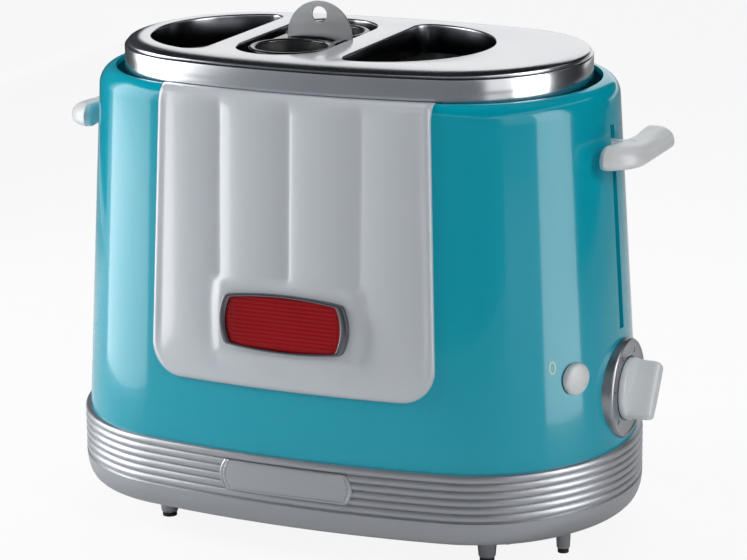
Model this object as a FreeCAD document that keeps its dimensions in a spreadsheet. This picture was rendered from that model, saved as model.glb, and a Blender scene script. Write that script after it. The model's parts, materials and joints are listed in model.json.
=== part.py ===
"""Hot dog toaster: a long oval body with two bun slots, a lift-out sausage basket,
a lift carriage with a lever at each end, a timer dial, a stop button and a crumb tray.

Millimetres. +Z is up, the front faces -Y and the length runs along X.
The origin lies on the table under the middle of the body."""
import FreeCAD, Part
import math
import os
import Sketcher

os.makedirs("parts", exist_ok=True)
doc = FreeCAD.newDocument("HotDogToaster")

# ---------------------------------------------------------------------------
# Driving dimensions
# ---------------------------------------------------------------------------
SIZES = [
    # base
    ("base_underside", 18.6, "height of the base's underside above the table"),
    ("base_top", 53.6, "height of the seam between base and shell"),
    ("base_overhang", 2.8, "how far the base stands out past the shell's foot"),
    ("base_floor", 2.5, "thickness of the base's floor"),
    ("base_wall", 2.6, "thickness of the base's wall behind the grooves"),
    ("bead_pitch", 3.75, "height of one bead of the base"),
    ("bead_depth", 0.9, "depth of the groove between two beads"),
    ("bead_edge", 0.75, "height of a bead's sloping flank"),
    ("skirt_tuck", 5.0, "how far the skirt turns under at the underside"),
    ("ledge_depth", 3.0, "thickness of the ledge that the shell stands on"),
    ("ledge_width", 3.2, "width of the ledge inside the shell's wall"),
    ("post_radius", 4.3, "radius of a screw post"),
    ("post_inset", 4.3, "distance of a screw post's axis inside the shell's face"),
    ("post_left_angle", 44.5, "angle of the left screw posts round the shell's corner, degrees"),
    ("post_right_angle", 55.3, "angle of the right screw posts round the shell's corner, degrees"),
    ("post_height", 20, "height of the shell's screw posts"),
    ("vent_width", 4, "width of a vent slot in the floor"),
    ("vent_length", 34, "length of a vent slot in the floor"),
    ("vent_pitch", 8, "spacing of the vent slots"),
    ("vent_step", 6, "distance of the first vent slot from the inner frames"),
    # feet
    ("foot_inset_x", 54.7, "distance of the corner feet inside the shell's ends"),
    ("foot_inset_y", 42, "distance of the corner feet inside the shell's front and back"),
    ("foot_top_radius", 5.6, "radius of a corner foot at the base"),
    ("foot_tip_radius", 4.1, "radius of a corner foot at its pad"),
    ("steady_inset", 25, "distance of the steadying foot inside the shell's right end"),
    ("steady_y", 20, "place of the steadying foot in front of the long axis"),
    ("steady_top_radius", 4.0, "radius of the steadying foot at the base"),
    ("steady_tip_radius", 3.2, "radius of the steadying foot at its pad"),
    ("pad_height", 2.0, "height of a rubber pad"),
    ("pad_inset", 0.5, "how much smaller a pad is than its foot"),
    # shell
    ("shell_half_length", 140, "half length of the shell at its foot"),
    ("shell_half_depth", 86.5, "half depth of the shell at its foot"),
    ("shell_front_bow", 9, "how far the front falls back before the corner"),
    ("end_bow_less", 41.3, "how much less the shell's end falls back than its half depth"),
    ("corner_less", 16.5, "how much smaller the shell's corner radius is than its half depth"),
    ("shell_taper_x", 10.1, "how much the half length shrinks up to the shoulder"),
    ("shell_taper_y", 8.7, "how much the half depth shrinks up to the shoulder"),
    ("shoulder_level", 216, "height where the shell's shoulder starts"),
    ("shoulder_bow_front", 8, "front bow at the shoulder"),
    ("shoulder_bow_less", 6.2, "how much less the end falls back at the shoulder than at the foot"),
    ("shoulder_corner_less", 8, "how much smaller the corner radius is at the shoulder than at the foot"),
    ("shoulder_rise", 9.3, "height of the rounded shoulder"),
    ("rim_turn_x", 8.3, "how far the shoulder turns in at the ends"),
    ("rim_turn_y", 5.0, "how far the shoulder turns in at the front"),
    ("shell_wall", 2.4, "wall of the shell"),
    # front panel
    ("panel_proud", 2.8, "how far the front panel stands out of the shell"),
    ("panel_half_width", 73, "half width of the front panel at its lower end"),
    ("panel_top_half_width", 69, "half width of the front panel at its upper end"),
    ("panel_bottom", 86, "height of the front panel's lower edge"),
    ("panel_corner", 16, "radius of the front panel's lower corners"),
    ("flute_spacing", 36, "spacing of the grooves between the flutes"),
    ("flute_radius", 6, "radius of the groove between two flutes"),
    ("flute_depth", 1.6, "depth of the groove between two flutes"),
    ("flute_low", 98, "height where the grooves start"),
    ("flute_high", 219, "height where the grooves end"),
    # badge
    ("badge_level", 118, "height of the badge's centre"),
    ("badge_half_width", 33, "half width of the badge"),
    ("badge_half_height", 14, "half height of the badge"),
    ("badge_end_bow", 3.0, "bulge of the badge's ends"),
    ("badge_top_bow", 2.2, "bulge of the badge's long edges"),
    ("badge_rim", 3.0, "width of the badge frame's rim"),
    ("badge_depth", 2.2, "depth of the badge frame"),
    ("badge_floor", 0.8, "thickness behind the badge's lens"),
    ("lens_sink", 0.5, "how far the lens lies below the frame's rim"),
    ("badge_pad_margin", 4.5, "how far the panel's pad reaches past the badge"),
    ("badge_pad_proud", 0.6, "how far the pad stands out of the panel"),
    # plaque on the base
    ("plaque_half_width", 34.5, "half width of the base's plaque"),
    ("plaque_end_bow", 3.0, "bulge of the plaque's ends"),
    ("plaque_top_bow", 0.3, "bulge of the plaque's long edges"),
    ("plaque_beads", 4, "number of beads that the plaque covers"),
    ("plaque_depth", 1.5, "thickness of the plaque"),
    ("plaque_gap", 0.15, "gap round the plaque"),
    # top cover
    ("cover_top", 239, "height of the cover's flat top"),
    ("cover_turn_x", 11.6, "how far the cover's flat top lies inside the shell's rim at the ends"),
    ("cover_turn_y", 18.8, "how far the cover's flat top lies inside the shell's rim at the front"),
    ("cover_front_bow", 5.1, "front bow of the cover's flat top"),
    ("cover_bow_less", 35, "how much less the flat top's end falls back than its half depth"),
    ("cover_corner_less", 12, "how much smaller the flat top's corner radius is than its half depth"),
    ("cover_gap", 4.7, "gap between the cover and the shell's rim"),
    ("cover_low", 214, "height of the cover's lower edge"),
    ("crease_level", 233.2, "height of the crease below the cover's shoulder"),
    ("crease_depth", 1.6, "depth of the crease"),
    ("crease_step_x", 1.0, "how far the cover's shoulder stands back at the ends"),
    ("crease_step_y", 3.0, "how far the cover's shoulder stands back at the front"),
    ("crease_height", 1.0, "height of the crease"),
    ("cover_sheet", 0.8, "thickness of the cover's sheet"),
    ("collar_depth", 14, "depth of the collars round the cover's openings"),
    # wells
    ("slot_edge", 3, "width of the flat top in front of the bun slots"),
    ("left_slot_flat", 62.5, "flat side of the left bun slot, from the middle"),
    ("left_deck", 5, "width of the flat top beyond the left bun slot"),
    ("right_slot_flat", 9, "flat side of the right bun slot, from the middle"),
    ("right_deck", 43.5, "width of the flat top beyond the right bun slot"),
    ("basket_x", 28.5, "distance of the basket opening's centre line from the middle"),
    ("well_edge", 1, "how much shorter the basket's opening is than the bun slots, each end"),
    # frames
    ("frame_clear", 1.2, "gap between the wells and the frames"),
    ("frame_sheet", 1.0, "thickness of the frames"),
    ("frame_left_less", 15, "how far the frames end short of the left well's round side"),
    ("frame_right_over", 9.5, "how far the frames reach past the right well's round side"),
    ("frame_shoulder", 226, "height of the frames' wide part"),
    ("frame_tab_left", 72, "left end of the frames' tab under the cover"),
    ("tab_right_less", 4.5, "how far the frames' tab ends short of the right well's round side"),
    ("frame_slot_low", 43, "lower end of the slots that the trays move in"),
    ("frame_slot_high", 130, "upper end of the slots that the trays move in"),
    ("end_plate_clear", 4.7, "gap between the left well and its end plate"),
    ("end_plate_less", 1, "how much narrower the left end plate is than the carriage frame's end, each side"),
    ("end_plate_flange", 11, "depth of the left end plate's flanges"),
    ("end_plate_top", 209, "height of the left end plate"),
    # heaters
    ("board_sheet", 0.8, "thickness of a heater board"),
    ("board_low", 50, "lower edge of the heater boards"),
    ("board_high", 205, "upper edge of the heater boards"),
    ("board_clear", 3.0, "gap between a well and its outer heater board"),
    ("ribbon_height", 2.5, "width of the heating ribbon"),
    ("ribbon_sheet", 0.3, "thickness of the heating ribbon"),
    ("ribbon_margin", 6, "distance of the ribbon from the board's edge"),
    ("wire_radius", 1.0, "radius of a guard wire"),
    ("cross_wire_radius", 1.25, "radius of the guards' cross wires"),
    ("wire_inset", 3.0, "distance of the guard wires inside a well's side"),
    ("wire_step", 20, "spacing of the guard wires"),
    ("guard_low", 44, "height of the guards' lower cross wire"),
    ("guard_high", 210, "height of the guards' upper cross wire"),
    ("left_guard_inset", 1.5, "distance of the left well's outer guard inside its round side"),
    ("shield_clear", 4, "gap between the carriage frame and the heat shields"),
    ("shield_over", 2, "how far the heat shields reach past the frames"),
    ("shield_low", 36, "lower edge of the heat shields"),
    ("shield_top", 207, "height of the heat shields' flange"),
    ("shield_sheet", 0.6, "thickness of the heat shields"),
    # lift carriage
    ("lift_travel", 80, "travel of the lift carriage"),
    ("carriage_top", 126, "height of the carriage frame's top when it is up"),
    ("carriage_sheet", 2.0, "thickness of the carriage frame"),
    ("carriage_strip", 5.0, "width of the carriage frame's strips"),
    ("carriage_clear", 8.8, "distance of the carriage frame's sides from the inner frames"),
    ("left_end_less", 26, "how much narrower the carriage's left end is than its middle, each side"),
    ("left_side_less", 7, "how far the carriage's straight sides end short of the left well's round side"),
    ("right_end_less", 48, "how much narrower the carriage's right end is than its middle, each side"),
    ("right_side_over", 14, "how far the carriage's sides reach past the inner frames on the right"),
    ("right_end_strip", 12, "width of the strip at the carriage frame's right end"),
    ("carriage_slant", 7, "width of the slanting strips along the length"),
    ("eye_radius", 5.9, "radius of the carriage frame's eyes round the guide rods"),
    ("eye_hole", 4.7, "radius of the holes in the eyes"),
    ("rod_inset", 23, "distance of the guide rods inside the shell's ends"),
    ("rod_radius", 2.5, "radius of the guide rods"),
    ("rod_top", 211, "height of the guide rods"),
    ("rod_fit", 0.05, "running clearance of the bushes on the rods"),
    ("bush_low", 184, "lower face of the bushes when the carriage is up"),
    ("bush_height", 14, "height of the bushes"),
    ("bush_half", 6, "half width of the bushes"),
    ("bush_back", 4.8, "distance from the rod to a bush's inner face"),
    ("riser_sheet", 1.5, "thickness of the risers"),
    ("riser_half", 7, "half width of the risers"),
    ("riser_over", 2.5, "how far the risers reach above the bushes"),
    ("spring_radius", 3.7, "mean radius of the return springs"),
    ("spring_wire", 0.5, "radius of the return springs' wire"),
    ("spring_pitch", 10, "pitch of the return springs"),
    ("spring_foot", 45, "height where the return springs start"),
    ("bracket_sheet", 1.2, "thickness of the rod brackets"),
    ("bracket_half", 6, "half width of the rod brackets"),
    ("stem_half", 2.0, "half thickness of the lever stems"),
    ("stem_low", 191, "lower edge of the lever stems"),
    ("stem_high", 200, "upper edge of the lever stems"),
    ("slot_clear", 0.7, "clearance of a stem in its slot, each side"),
    ("slot_over", 7, "how far the slot reaches above a stem"),
    ("slot_under", 2, "how far the slot reaches below a lowered stem"),
    ("handle_low", 190.5, "underside of the lever handles"),
    ("handle_height", 10, "height of the lever handles"),
    ("handle_over", 10.4, "how far a handle reaches past the shell's end"),
    ("handle_half", 31, "half width of a handle"),
    ("handle_shift", 4.5, "how far a handle's middle lies behind the long axis"),
    ("handle_bend", 19, "radius of a handle's outer corner at the front"),
    ("handle_corner", 3, "radius of a handle's outer corner at the back"),
    ("handle_hook", 2.4, "how far a handle's front end turns in towards the shell"),
    ("handle_hook_length", 15, "length of a handle's turned-in front end"),
    ("handle_slope_width", 6.5, "width of the slope along a handle's outer edge"),
    ("handle_slope_height", 5.5, "height of the slope along a handle's outer edge"),
    ("handle_clear", 0.6, "gap between a lowered handle and the shell"),
    ("handle_socket", 5, "how far a stem reaches into its handle"),
    ("tray_sheet", 1.2, "thickness of the bun trays"),
    ("tray_short", 4, "how much shorter the bun trays are than their wells, each end"),
    ("tray_clear", 4.5, "gap between a bun tray and its well's side"),
    ("tongue_half", 6, "half width of the trays' tongues"),
    ("tongue_clear", 0.5, "clearance of a tongue in its slot"),
    ("tongue_less", 2, "how far the tongues end short of the carriage frame's side"),
    # basket
    ("basket_top", 237.6, "height of the basket's plate"),
    ("basket_sheet", 0.8, "thickness of the basket's sheet"),
    ("hole_end_gap", 3.5, "distance of a sausage hole's centre inside the centre of the opening's round end"),
    ("hole_half_gap", 3.3, "half the gap between the two sausage holes"),
    ("ring_width", 2.9, "width of the plate round a sausage hole"),
    ("bridge_half", 17, "half width of the bridge between the holes"),
    ("bridge_depth", 9, "half depth of the bridge between the holes"),
    ("basket_seat", 0.3, "gap between the basket and its tray"),
    ("window_width", 13, "width of a window in the sausage tubes"),
    ("window_low", 12, "distance of the windows from the tubes' foot"),
    ("window_high", 16, "distance of the windows from the tubes' top"),
    ("basket_shift", 4, "how far the basket stands to the right in its opening"),
    ("tab_x", 21, "distance of the basket's tab from the middle"),
    ("tab_y", 3.4, "distance of the basket's tab behind the long axis"),
    ("tab_radius", 17, "radius of the basket's tab"),
    ("tab_sheet", 1.2, "thickness of the basket's tab"),
    ("tab_hole_radius", 4.0, "radius of the hole in the tab"),
    ("tab_hole_rise", 11.6, "height of the tab's hole above the plate"),
    ("tab_foot", 1.2, "height of the tab's straight foot"),
    # latch
    ("magnet_y", 9, "distance of the latch magnet behind the long axis"),
    ("magnet_side", 9, "side of the latch magnet"),
    ("armature_sheet", 3, "thickness of the armature"),
    ("armature_side", 8, "side of the armature"),
    ("magnet_gap", 0.4, "gap between the magnet and a lowered armature"),
    ("coil_wall", 2.5, "thickness of the magnet's coil"),
    ("magnet_foot", 3, "height of the magnet's foot"),
    # electronics
    ("board_gap", 6, "length of the circuit board's standoffs"),
    ("circuit_less", 10.2, "how much narrower the circuit board is than the frames' space, each side"),
    ("circuit_low", 60, "lower edge of the circuit board"),
    ("circuit_high", 150, "upper edge of the circuit board"),
    ("circuit_sheet", 1.6, "thickness of the circuit board"),
    ("standoff_radius", 2.6, "radius of a standoff"),
    ("standoff_inset", 5, "distance of a standoff from the board's edge"),
    ("relay_side", 15, "side of the relay"),
    ("relay_length", 19, "height of the relay"),
    ("capacitor_radius", 4, "radius of a capacitor"),
    ("capacitor_length", 11, "length of a capacitor"),
    ("terminal_step", 4, "distance of the terminal block from the cord inlet along the length"),
    ("terminal_inset", 36.5, "distance of the terminal block inside the shell's back"),
    ("terminal_length", 22, "length of the terminal block"),
    ("terminal_depth", 12, "depth of the terminal block"),
    ("terminal_height", 14, "height of the terminal block"),
    # dial
    ("dial_level", 79.5, "height of the dial's axis"),
    ("bezel_radius", 24.6, "radius of the bezel at the shell"),
    ("bezel_face_radius", 23.2, "radius of the bezel's face"),
    ("bezel_proud", 2.0, "how far the bezel's face stands past the shell's end"),
    ("bezel_recess", 1.0, "depth of the bezel's recess round the knob"),
    ("bezel_sink", 5.5, "depth of the bezel behind the shell's end"),
    ("knob_radius", 15, "radius of the knob's disc"),
    ("knob_clear", 0.4, "gap between the knob and the bezel"),
    ("knob_disc", 3.4, "thickness of the knob's disc"),
    ("grip_half_length", 14.6, "half length of the knob's grip"),
    ("grip_half_width", 4.7, "half width of the knob's grip"),
    ("grip_proud", 11.5, "how far the grip stands out of the disc"),
    ("grip_angle", 33, "angle of the grip from upright at rest"),
    ("shaft_radius", 3.0, "radius of the timer's shaft"),
    ("shaft_fit", 0.05, "running clearance of the timer's shaft"),
    ("shaft_socket", 7, "how far the shaft reaches into the knob"),
    ("shaft_hole_clear", 1.0, "clearance of the shaft's hole in shell and bezel"),
    ("timer_radius", 10, "radius of the timer's body"),
    ("timer_depth", 7.5, "depth of the timer's body"),
    ("timer_seat", 3.2, "gap between the timer and the shell's end wall"),
    ("timer_ear", 17, "distance of the timer's ears from its axis"),
    ("timer_ear_sheet", 1.2, "thickness of the timer's ears"),
    ("timer_boss_radius", 3, "radius of the bosses that carry the timer"),
    # stop button
    ("button_level", 94.2, "height of the stop button"),
    ("button_angle", 24.8, "angle of the stop button from the shell's end, degrees"),
    ("button_radius", 7.7, "radius of the stop button"),
    ("button_proud", 3.2, "how far the stop button stands out"),
    ("button_travel", 2.5, "travel of the stop button"),
    ("button_clear", 0.35, "clearance of the stop button in its hole"),
    ("button_sink", 3.6, "how far the stop button reaches behind the shell's face"),
    ("switch_side", 5.6, "half side of the stop switch"),
    ("switch_depth", 4.6, "depth of the stop switch"),
    ("switch_gap", 0.3, "gap between the pressed button and its switch"),
    ("switch_cup", 1.6, "wall of the cup that holds the button and its switch"),
    # cord inlet
    ("inlet_inset", 56, "distance of the cord inlet inside the shell's right end"),
    ("inlet_level", 42, "height of the cord inlet"),
    ("inlet_radius", 6.5, "radius of the cord inlet's body"),
    ("inlet_bore", 4.0, "radius of the cord inlet's bore"),
    ("inlet_flange", 9, "radius of the cord inlet's flange"),
    ("inlet_flange_depth", 2, "depth of the cord inlet's flange"),
    ("inlet_length", 14, "length of the cord inlet"),
    ("inlet_proud", 2.6, "how far the cord inlet stands out"),
    # crumb tray
    ("crumb_left_less", 21, "how far the crumb tray ends short of the left well's round side"),
    ("crumb_right_less", 6.5, "how far the crumb tray ends short of the right well's round side"),
    ("crumb_front_less", 1, "how far the crumb tray ends short of the wells at the front"),
    ("crumb_sheet", 0.8, "thickness of the crumb tray's sheet"),
    ("crumb_wall", 7, "height of the crumb tray's walls"),
    ("crumb_clear", 0.3, "clearance of the crumb tray in the base"),
    ("crumb_face_height", 9.4, "height of the crumb tray's front"),
    ("crumb_face_depth", 2.4, "depth of the crumb tray's front"),
    ("crumb_grip", 16, "half width of the grip in the crumb tray's front"),
    ("crumb_grip_low", 3, "lower edge of the grip above the tray's underside"),
    ("crumb_grip_high", 8, "upper edge of the grip above the tray's underside"),
    ("crumb_grip_depth", 1.4, "depth of the grip"),
    # screws
    ("screw_radius", 1.5, "radius of a screw"),
    ("screw_head", 2.8, "radius of a screw's head"),
    ("screw_head_height", 1.8, "height of a screw's head"),
    ("screw_fit", 0.1, "clearance of a screw in its post"),
    ("screw_length", 44, "length of a base screw"),
    # cutting tools
    ("tool_over", 1, "how far a cutting tool reaches past the face that it cuts"),
]

sheet = doc.addObject("Spreadsheet::Sheet", "Sizes")
for row, (alias, number, meaning) in enumerate(SIZES, start=1):
    sheet.set(f"A{row}", meaning)
    sheet.set(f"B{row}", str(number))
    sheet.setAlias(f"B{row}", alias)
doc.recompute()


class Size:
    """A length from the sheet, or a formula of such lengths: its number and its expression."""

    def __init__(self, value, text):
        self.value = float(value)
        self.text = text

    def __add__(self, other):
        other = as_size(other)
        return Size(self.value + other.value, f"({self.text} + {other.text})")

    def __sub__(self, other):
        other = as_size(other)
        return Size(self.value - other.value, f"({self.text} - {other.text})")

    def __mul__(self, other):
        other = as_size(other)
        return Size(self.value * other.value, f"({self.text} * {other.text})")

    def __truediv__(self, other):
        other = as_size(other)
        return Size(self.value / other.value, f"({self.text} / {other.text})")

    def __radd__(self, other):
        return as_size(other) + self

    def __rsub__(self, other):
        return as_size(other) - self

    def __rmul__(self, other):
        return as_size(other) * self

    def __rtruediv__(self, other):
        return as_size(other) / self

    def __neg__(self):
        return Size(-self.value, f"(0 - {self.text})")


def as_size(number):
    """A plain number as a Size."""
    return number if isinstance(number, Size) else Size(number, repr(float(number)))


def cosine(angle):
    """Cosine of an angle in degrees."""
    return Size(math.cos(math.radians(angle.value)), f"cos({angle.text} * 1 deg)")


def sine(angle):
    """Sine of an angle in degrees."""
    return Size(math.sin(math.radians(angle.value)), f"sin({angle.text} * 1 deg)")


def root(number):
    """Square root of a length or a formula."""
    return Size(math.sqrt(number.value), f"sqrt({number.text})")


class SheetSizes:
    """Every alias of the sheet as a Size."""

    def __getattr__(self, alias):
        return Size(sheet.get(alias), f"Sizes.{alias}")


size = SheetSizes()
over = size.tool_over
UP = FreeCAD.Vector(0, 0, 1)
ALONG = FreeCAD.Vector(1, 0, 0)
BACK = FreeCAD.Vector(0, 1, 0)
BEADS = 6
RIBBON_ROWS = 8
VENTS = 4
TURNS = {
    "z": FreeCAD.Rotation(),
    "x": FreeCAD.Rotation(BACK, 90),
    "y": FreeCAD.Rotation(ALONG, -90),
}
nodes = []


# ---------------------------------------------------------------------------
# Building blocks
# ---------------------------------------------------------------------------
def bind(thing, prop, length):
    """Ties a property to a formula of the sheet."""
    thing.setExpression(prop, as_size(length).text)


def place(thing, point, turn=None):
    """Puts an object's origin at a point given by formulas."""
    spot = FreeCAD.Vector(*[as_size(part).value for part in point])
    thing.Placement = FreeCAD.Placement(spot, turn or FreeCAD.Rotation())
    for letter, part in zip("xyz", point):
        bind(thing, f"Placement.Base.{letter}", part)
    return thing


def box(low, high):
    """A box between two corners."""
    thing = doc.addObject("Part::Box", "Box")
    for prop, start, end in zip(("Length", "Width", "Height"), low, high):
        bind(thing, prop, as_size(end) - start)
    return place(thing, low)


def rod(radius, start, length, axis="z"):
    """A cylinder from a start point along an axis."""
    thing = doc.addObject("Part::Cylinder", "Rod")
    bind(thing, "Radius", radius)
    bind(thing, "Height", length)
    return place(thing, start, TURNS[axis])


def cone(low_radius, high_radius, start, height):
    """An upright cone."""
    thing = doc.addObject("Part::Cone", "Cone")
    bind(thing, "Radius1", low_radius)
    bind(thing, "Radius2", high_radius)
    bind(thing, "Height", height)
    return place(thing, start)


def fuse(*parts):
    """One solid from touching solids."""
    if len(parts) == 1:
        return parts[0]
    thing = doc.addObject("Part::MultiFuse", "Fuse")
    thing.Shapes = list(parts)
    return thing


def cut(base, *tools):
    """A solid less its tools."""
    thing = doc.addObject("Part::Cut", "Cut")
    thing.Base = base
    thing.Tool = fuse(*tools)
    return thing


def common(first, second):
    """What two solids share."""
    thing = doc.addObject("Part::Common", "Common")
    thing.Base = first
    thing.Tool = second
    return thing


def group(*parts):
    """Separate solids of one sub-part."""
    thing = doc.addObject("Part::Compound", "Group")
    thing.Links = list(parts)
    return thing


def mirrored(thing, normal):
    """A copy on the other side of the plane through the origin."""
    copy = doc.addObject("Part::Mirroring", "Mirror")
    copy.Source = thing
    copy.Normal = normal
    return copy


def tube(outer, inner, start, length, axis="z"):
    """A round tube."""
    return cut(rod(outer, start, length, axis), rod(inner, start, length, axis))


def extrude(sketch, length, direction=UP):
    """A sketch drawn out to a solid."""
    thing = doc.addObject("Part::Extrusion", "Extrusion")
    thing.Base = sketch
    thing.DirMode = "Custom"
    thing.Dir = direction
    thing.Solid = True
    bind(thing, "LengthFwd", length)
    return thing


def node(name, thing):
    """Names a finished sub-part."""
    thing.Label = name
    nodes.append(thing)
    return thing


X_AXIS, Y_AXIS = range(-1, -3, -1)
ORIGIN = X_AXIS
START, END, CENTRE = range(1, 4)


def hold(sketch, kind, geometry, point, length):
    """Holds a point at a signed distance from the sketch's origin along X or Y."""
    length = as_size(length)
    if length.value >= 0:
        rule = Sketcher.Constraint(kind, ORIGIN, 1, geometry, point, length.value)
    else:
        length = -length
        rule = Sketcher.Constraint(kind, geometry, point, ORIGIN, 1, length.value)
    index = sketch.addConstraint(rule)
    sketch.setExpression(f"Constraints[{index}]", length.text)


def radius_of(sketch, geometry, length):
    """Sets the radius of an arc."""
    index = sketch.addConstraint(Sketcher.Constraint("Radius", geometry, length.value))
    sketch.setExpression(f"Constraints[{index}]", length.text)


def polygon(points, origin=(0, 0, 0), turn=None):
    """A closed outline with straight sides, every corner tied to its formulas."""
    sketch = doc.addObject("Sketcher::SketchObject", "Outline")
    flat = [FreeCAD.Vector(as_size(x).value, as_size(y).value, 0) for x, y in points]
    count = len(points)
    for index in range(count):
        sketch.addGeometry(Part.LineSegment(flat[index], flat[(index + 1) % count]), False)
    for index in range(count):
        follower = (index + 1) % count
        sketch.addConstraint(Sketcher.Constraint("Coincident", index, END, follower, START))
    for index, (x, y) in enumerate(points):
        hold(sketch, "DistanceX", index, START, x)
        hold(sketch, "DistanceY", index, START, y)
    return place(sketch, origin, turn)


class Oval:
    """A long oval: slow arcs front and back, end arcs, and a rounded corner between them."""

    def __init__(self, half_length, half_depth, front_bow, end_bow, corner):
        self.half_length = half_length
        self.half_depth = half_depth
        self.front_bow = front_bow
        self.end_bow = end_bow
        self.corner = corner
        run = half_length - end_bow
        rise = half_depth - front_bow
        self.front_radius = (run * run + front_bow * front_bow) / (2 * front_bow)
        self.end_radius = (rise * rise + end_bow * end_bow) / (2 * end_bow)
        self.drop = self.front_radius - half_depth
        self.reach = half_length - self.end_radius

    def mixed(self, other, share):
        """An oval part of the way to another one."""
        mine = (self.half_length, self.half_depth, self.front_bow, self.end_bow, self.corner)
        theirs = (other.half_length, other.half_depth, other.front_bow, other.end_bow, other.corner)
        return Oval(*[a + (b - a) * share for a, b in zip(mine, theirs)])

    def corner_centre(self):
        """Centre of the corner arc that touches the front arc and the end arc."""
        far = self.front_radius.value - self.corner.value
        near = self.end_radius.value - self.corner.value
        reach, drop = self.reach.value, self.drop.value
        span = math.hypot(reach, drop)
        along = (far * far - near * near + span * span) / (2 * span)
        across = math.sqrt(max(far * far - along * along, 0))
        x = (along * reach + across * drop) / span
        y = (along * drop - across * reach) / span - drop
        return x, y

    def sketch(self, inset, level):
        """The oval's outline, moved inwards, as a fully constrained sketch."""
        drawing = doc.addObject("Sketcher::SketchObject", "Oval")
        corner_x, corner_y = self.corner_centre()
        reach, drop = self.reach.value, self.drop.value
        end_turn = math.atan2(corner_y, corner_x - reach)
        front_turn = math.atan2(corner_y + drop, corner_x)
        half = math.pi
        end, corner, front = [part - inset for part in (self.end_radius, self.corner, self.front_radius)]
        arcs = [
            (reach, 0, end, -end_turn, end_turn),
            (corner_x, corner_y, corner, end_turn, front_turn),
            (0, -drop, front, front_turn, half - front_turn),
            (-corner_x, corner_y, corner, half - front_turn, half - end_turn),
            (-reach, 0, end, half - end_turn, half + end_turn),
            (-corner_x, -corner_y, corner, half + end_turn, half + front_turn),
            (0, drop, front, half + front_turn, 2 * half - front_turn),
            (corner_x, -corner_y, corner, 2 * half - front_turn, 2 * half - end_turn),
        ]
        for x, y, radius, first, last in arcs:
            circle = Part.Circle(FreeCAD.Vector(x, y, 0), UP, radius.value)
            drawing.addGeometry(Part.ArcOfCircle(circle, first, last), False)
        for index in range(len(arcs)):
            follower = (index + 1) % len(arcs)
            drawing.addConstraint(Sketcher.Constraint("Tangent", index, END, follower, START))
        for first, second in ((0, 4), (1, 3), (1, 5), (1, 7), (2, 6)):
            drawing.addConstraint(Sketcher.Constraint("Equal", first, second))
        for index, radius in ((0, end), (1, corner), (2, front)):
            radius_of(drawing, index, radius)
        for index, axis in ((0, X_AXIS), (4, X_AXIS), (2, Y_AXIS), (6, Y_AXIS)):
            drawing.addConstraint(Sketcher.Constraint("PointOnObject", index, CENTRE, axis))
        hold(drawing, "DistanceX", 0, CENTRE, self.reach)
        hold(drawing, "DistanceX", 4, CENTRE, -self.reach)
        hold(drawing, "DistanceY", 2, CENTRE, -self.drop)
        hold(drawing, "DistanceY", 6, CENTRE, self.drop)
        return place(drawing, (0, 0, level))


def prism(oval, inset, low, high):
    """An upright solid over an oval."""
    return extrude(oval.sketch(inset, low), as_size(high) - low)


def loft(sections):
    """A solid through ovals, each given with its inset and level."""
    thing = doc.addObject("Part::Loft", "Loft")
    thing.Sections = [oval.sketch(inset, level) for oval, inset, level in sections]
    thing.Solid = True
    thing.Ruled = True
    return thing


def bowed_plate(half_width, half_height, end_bow, top_bow, centre, depth, lean=0.0):
    """A plate with four bulging edges, drawn out towards the back; its top leans back by an angle."""
    corner_x = half_width - end_bow
    corner_y = half_height - top_bow
    end_radius = (corner_y * corner_y + end_bow * end_bow) / (2 * end_bow)
    top_radius = (corner_x * corner_x + top_bow * top_bow) / (2 * top_bow)
    sketch = doc.addObject("Sketcher::SketchObject", "Bowed")
    x, y = corner_x.value, corner_y.value
    wide, tall = half_width.value, half_height.value
    corners = [(x, -y), (x, y), (-x, y), (-x, -y)]
    middles = [(wide, 0), (0, tall), (-wide, 0), (0, -tall)]
    count = len(corners)
    for index in range(count):
        path = [corners[index], middles[index], corners[(index + 1) % count]]
        sketch.addGeometry(Part.Arc(*[FreeCAD.Vector(a, b, 0) for a, b in path]), False)
    for index in range(count):
        follower = (index + 1) % count
        sketch.addConstraint(Sketcher.Constraint("Coincident", index, END, follower, START))
    for index, radius in enumerate((end_radius, top_radius, end_radius, top_radius)):
        radius_of(sketch, index, radius)
    for index, (sign_x, sign_y) in enumerate(((1, -1), (1, 1), (-1, 1), (-1, -1))):
        hold(sketch, "DistanceX", index, START, corner_x * sign_x)
        hold(sketch, "DistanceY", index, START, corner_y * sign_y)
    inwards = FreeCAD.Rotation(ALONG, -lean).multVec(BACK)
    place(sketch, centre, FreeCAD.Rotation(ALONG, 90 - lean))
    return extrude(sketch, depth, inwards)


# ---------------------------------------------------------------------------
# Ovals of the body
# ---------------------------------------------------------------------------
shell_end_bow = size.shell_half_depth - size.end_bow_less
shell_corner = size.shell_half_depth - size.corner_less
shoulder_bow_end = shell_end_bow - size.shoulder_bow_less
shoulder_corner = shell_corner - size.shoulder_corner_less
foot_oval = Oval(size.shell_half_length, size.shell_half_depth, size.shell_front_bow,
                 shell_end_bow, shell_corner)
shoulder_oval = Oval(size.shell_half_length - size.shell_taper_x, size.shell_half_depth - size.shell_taper_y,
                     size.shoulder_bow_front, shoulder_bow_end, shoulder_corner)
rim_oval = Oval(shoulder_oval.half_length - size.rim_turn_x, shoulder_oval.half_depth - size.rim_turn_y,
                size.shoulder_bow_front, shoulder_bow_end, shoulder_corner)
cover_half_length = rim_oval.half_length - size.cover_turn_x
cover_half_depth = rim_oval.half_depth - size.cover_turn_y
plate_oval = Oval(cover_half_length, cover_half_depth, size.cover_front_bow,
                  cover_half_depth - size.cover_bow_less, cover_half_depth - size.cover_corner_less)
ROUND_TURNS = [Size(degrees, str(degrees)) for degrees in (0, 30, 60, 90)]


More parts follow.
